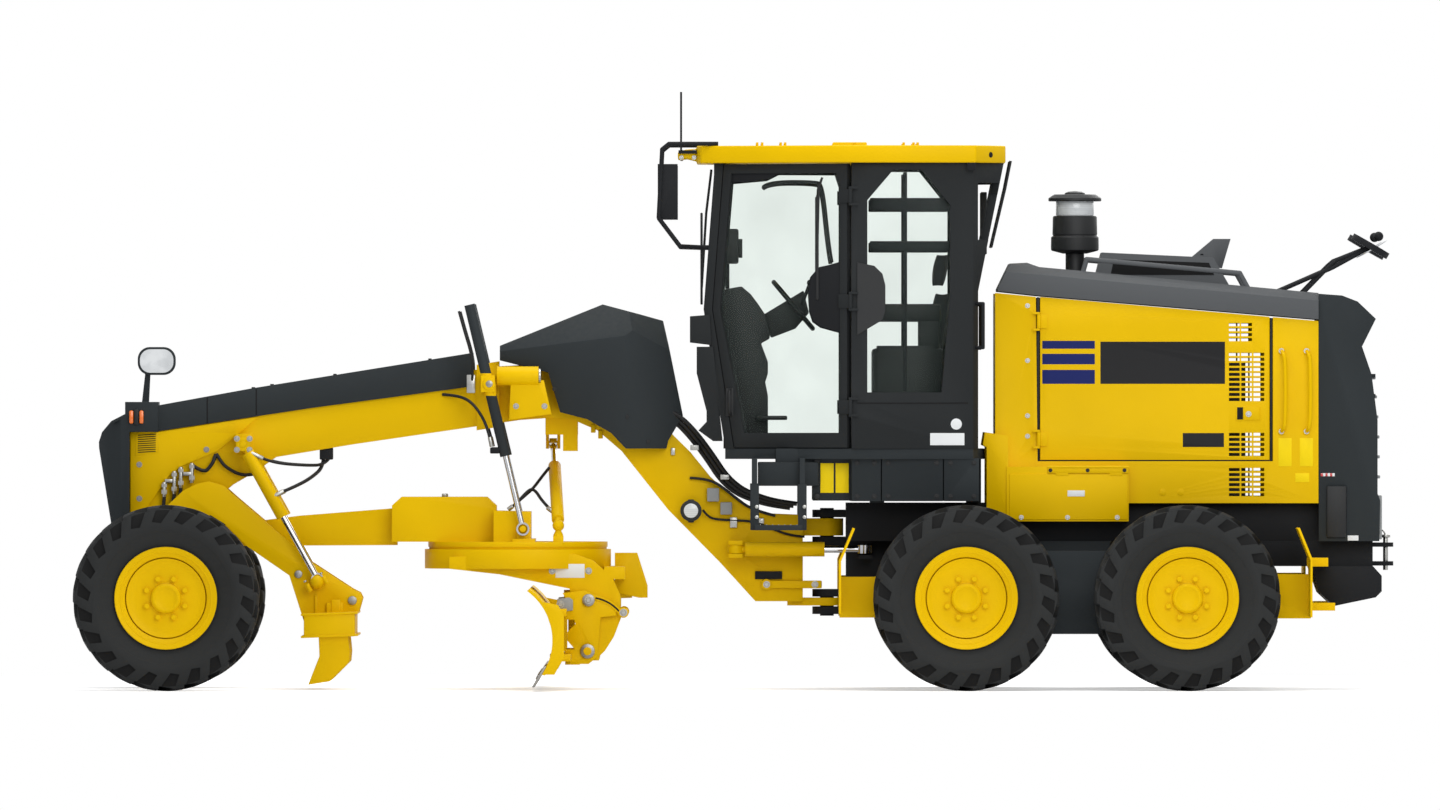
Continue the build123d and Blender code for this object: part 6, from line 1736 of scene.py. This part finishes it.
@dataclass
class ScarifierFittings:
    """Pins, plates, flanges, rod caps, cylinder ports and hoses of the scarifier."""

    def build(self) -> None:
        """Make everything on the scarifier."""
        self.plates()
        self.rod_feet()
        self.hoses()

    @staticmethod
    def plates() -> None:
        """Make the pins, plates and flanges of the scarifier's block."""
        both_sides("scarifier_arm_pins", STEEL, "scarifier", SHOP.join([
            round_bar((-2.531, -0.236, 0.667), (-2.531, -0.252, 0.667), 0.023, 0.004),
            round_bar((-2.219, -0.236, 0.515), (-2.219, -0.254, 0.515), 0.026, 0.004)]))
        both_sides("scarifier_plate_block", YELLOW, "scarifier", SHOP.join([
            block((-2.369, -0.262, 0.438), (-2.27, -0.238, 0.502), 0.005),
            block((-2.34, -0.27, 0.438), (-2.285, -0.26, 0.52), 0.005),
            block((-2.438, -0.25, 0.438), (-2.42, -0.238, 0.545), 0.004)]))
        for name, low in (("upper", 0.428), ("lower", 0.3)):
            flange = panel(((-2.512, low), (-2.183, low + 0.012), (-2.183, low + 0.024),
                            (-2.512, low + 0.012)), -0.545, 0.545, 0.002)
            SHOP.hand_over(flange, f"scarifier_flange_{name}", YELLOW, "scarifier")

    def rod_feet(self) -> None:
        """Make the ball caps of the lift rods with their bolts."""
        both_sides("scarifier_rod_cap", YELLOW, "scarifier_rods", self.rod_cap())
        both_sides("scarifier_rod_bolts", ZINC, "scarifier_rods", SHOP.join([
            round_bar((-2.489, -0.3, 0.622), (-2.494, -0.3, 0.631), 0.009),
            round_bar((-2.396, -0.3, 0.668), (-2.401, -0.3, 0.677), 0.009)]))

    @staticmethod
    def hoses() -> None:
        """Make the bolts at the cylinders' heads, their ports and the hoses to them."""
        Fastener(0.012, 0.008).place("scarifier_head_bolts", FRONT, (
            (-2.886, -0.31, 1.452), (-2.812, -0.31, 1.452), (-2.886, -0.31, 1.388), (-2.812, -0.31, 1.388)),
            both=True)
        both_sides("scarifier_ports", ZINC, "scarifier_barrels", SHOP.join([
            round_bar((-2.812, -0.312, 1.372), (-2.735, -0.3, 1.338), 0.013),
            round_bar((-2.672, -0.312, 1.12), (-2.616, -0.3, 1.148), 0.013)]))
        both_sides("scarifier_hoses", HOSE, FRONT, SHOP.join([
            SHOP.tube([(-2.745, -0.302, 1.342), (-2.68, -0.29, 1.312), (-2.485, -0.22, 1.296),
                       (-2.38, -0.12, 1.3), (-2.35, -0.1, 1.35)], 0.009),
            SHOP.tube([(-2.626, -0.302, 1.144), (-2.54, -0.28, 1.18), (-2.453, -0.2, 1.23),
                       (-2.39, -0.11, 1.29), (-2.39, -0.1, 1.35)], 0.009)]))
        both_sides("scarifier_hose_clamp", BLACK, FRONT, block(
            (-2.41, -0.135, 1.33), (-2.335, -0.075, 1.4), 0.006))

    @staticmethod
    def rod_cap() -> Piece:
        """Make the ball cap at the rod's foot with its two bolted ears."""
        ears = [round_bar((-2.482, -0.3, 0.61), (-2.458, -0.3, 0.566), 0.0145, 0.003),
                round_bar((-2.389, -0.3, 0.656), (-2.365, -0.3, 0.612), 0.0145, 0.003)]
        return SHOP.join([SHOP.ball((-2.422, -0.29, 0.622), 0.042), *ears])


@dataclass
class Tail:
    """Reflectors, slats, blank plates, lamps, hitch pin and mirrors at the back."""

    rear_x: float = 3.685
    # Height and rear end of each slat
    slats: Outline = ((1.804, 3.702), (1.694, 3.71), (1.578, 3.718), (1.462, 3.724), (1.347, 3.726),
                      (1.231, 3.728))

    def build(self) -> None:
        """Make everything at the back."""
        self.reflectors()
        self.wall()
        self.hitch_pin()
        for side in Side:
            self.lamps(side)
        self.mirrors()

    @staticmethod
    def reflectors() -> None:
        """Lay the row of red and white reflectors."""
        pitch, count = 0.027, 3
        for name, finish, low, high in (("red", RED, 3.381, 3.394), ("white", WHITE, 3.394, 3.408)):
            both_sides(f"reflector_{name}", finish, REAR, SHOP.join([
                block((low + pitch * index, HOOD_FACE - 0.002, 1.235),
                      (high + pitch * index, HOOD_FACE + 0.001, 1.253), 0.0006) for index in range(count)]))

    def wall(self) -> None:
        """Make the strips, slats, boxes and bare plates of the rear wall."""
        both_sides("tail_strip", GREY, REAR, block(
            (3.702, HOOD_FACE + 0.03, 0.87), (3.736, HOOD_FACE + 0.08, 1.125), 0.006))
        slats = [block((3.61, -0.4, z - 0.009), (end, 0.4, z + 0.009), 0.004) for z, end in self.slats]
        SHOP.hand_over(SHOP.join(slats), "tail_slats", GREY, REAR)
        both_sides("tail_box", PLASTIC, REAR, block(
            (3.415, HOOD_FACE - 0.022, 0.88), (3.53, HOOD_FACE + 0.01, 1.18), 0.01))
        both_sides("tail_blank_plate", WHITE, REAR, block(
            (3.537, HOOD_FACE - 0.002, 0.864), (3.599, HOOD_FACE + 0.001, 0.893), 0.0006))

    @staticmethod
    def hitch_pin() -> None:
        """Make the hitch pin with its ring."""
        pin = SHOP.join([round_bar((3.77, 0, 0.69), (3.77, 0, 0.885), 0.0145, 0.003),
                         round_bar((3.77, 0, 0.878), (3.77, 0, 0.896), 0.027, 0.004),
                         SHOP.tube([(3.77, 0, 0.892), (3.762, 0.03, 0.912), (3.745, 0, 0.925),
                                    (3.762, -0.03, 0.912), (3.77, 0, 0.892)], 0.004)])
        SHOP.hand_over(pin, "hitch_pin", ZINC, REAR)

    def lamps(self, side: Side) -> None:
        """Set a cluster of tail lamps on one side of the rear wall."""
        name = side.name.lower()
        y = 0.345 * side.value
        for label, low, finish in (("stop", 1.02, RED), ("turn", 0.94, AMBER)):
            lens = block((self.rear_x - 0.004, y - 0.04, low), (self.rear_x + 0.018, y + 0.04, low + 0.07),
                         0.008)
            SHOP.hand_over(lens, f"tail_lamp_{label}_{name}", finish, REAR)

    @staticmethod
    def mirrors() -> None:
        """Set the glass into the two tilted rear mirrors."""
        tilt = math.radians(30)
        way = Vector((math.sin(tilt), 0, -math.cos(tilt)))
        for name, y in (("left", -0.43), ("right", 0.43)):
            centre = Vector((3.67, y, 2.565))
            glass = SHOP.lathe(((0.0, 0.0), (0.0, 0.105), (0.002, 0.104), (0.006, 0.07), (0.007, 0.0)),
                               centre + way * 0.0175, way, 48)
            SHOP.hand_over(glass, f"rear_mirror_glass_{name}", MIRROR, REAR)
        both_sides("rear_mirror_brace", BLACK, REAR, SHOP.join([
            SHOP.tube([(3.289, -0.43, 2.3), (3.44, -0.43, 2.455), (3.475, -0.43, 2.485), (3.69, -0.43, 2.57)],
                      0.011, False),
            SHOP.soften(SHOP.ball((3.718, -0.43, 2.622), 0.028), 0.001)]))


@dataclass
class Platform:
    """Blank sign plates, knobs and the ladder's bracket below the cab."""

    def build(self) -> None:
        """Make everything on the platform."""
        face = -0.662
        for name, x in (("front", 0.49), ("rear", 0.577)):
            both_sides(f"sign_plate_{name}", LEMON, REAR, block(
                (x, face - 0.0025, 1.14), (x + 0.076, face + 0.001, 1.311), 0.0008))
        both_sides("platform_knobs", PLASTIC, REAR, SHOP.join([
            round_bar((0.47, face + 0.004, z), (0.47, face - 0.014, z), 0.018, 0.005)
            for z in (1.325, 1.118)]))
        Fastener(0.011, 0.007, PLASTIC).place("box_bolts", REAR, [
            (x, BOX_FACE, z) for x in (0.7, 0.8, 0.88, 1.16, 1.24, 1.375) for z in (1.12, 1.312)], both=True)
        both_sides("step_bracket", CHARCOAL, REAR, SHOP.join([
            block((0.13, -0.7, 1.18), (0.478, -0.64, 1.316), 0.006),
            block((0.232, -0.655, 1.18), (0.478, -0.6, 1.396), 0.006)]))
        both_sides("ladder_bolts", ZINC, REAR, SHOP.join([
            round_bar((x, -0.774, z), (x, -0.784, z), 0.011) for x in (0.122, 0.397) for z in (1.0, 1.06)]))
        both_sides("step_tread", ZINC, REAR, SHOP.join([
            block((x, -0.895, 0.9545), (x + 0.006, -0.745, 0.958), 0.001) for x in
            (0.14, 0.175, 0.21, 0.245, 0.28, 0.315, 0.35)]))


def main() -> None:
    """Build the scene."""
    logging.basicConfig(level=logging.INFO, format="%(message)s")
    Studio().build()
    for assembly in (CarriedOver, Wheels, EngineHood, HoodTop, Operator, CabFittings, Nose, Beam, BladeGear,
                     ScarifierFittings, Tail, Platform):
        assembly().build()
    log.info("%d pieces", SHOP.count)


if __name__ == "__main__":
    main()
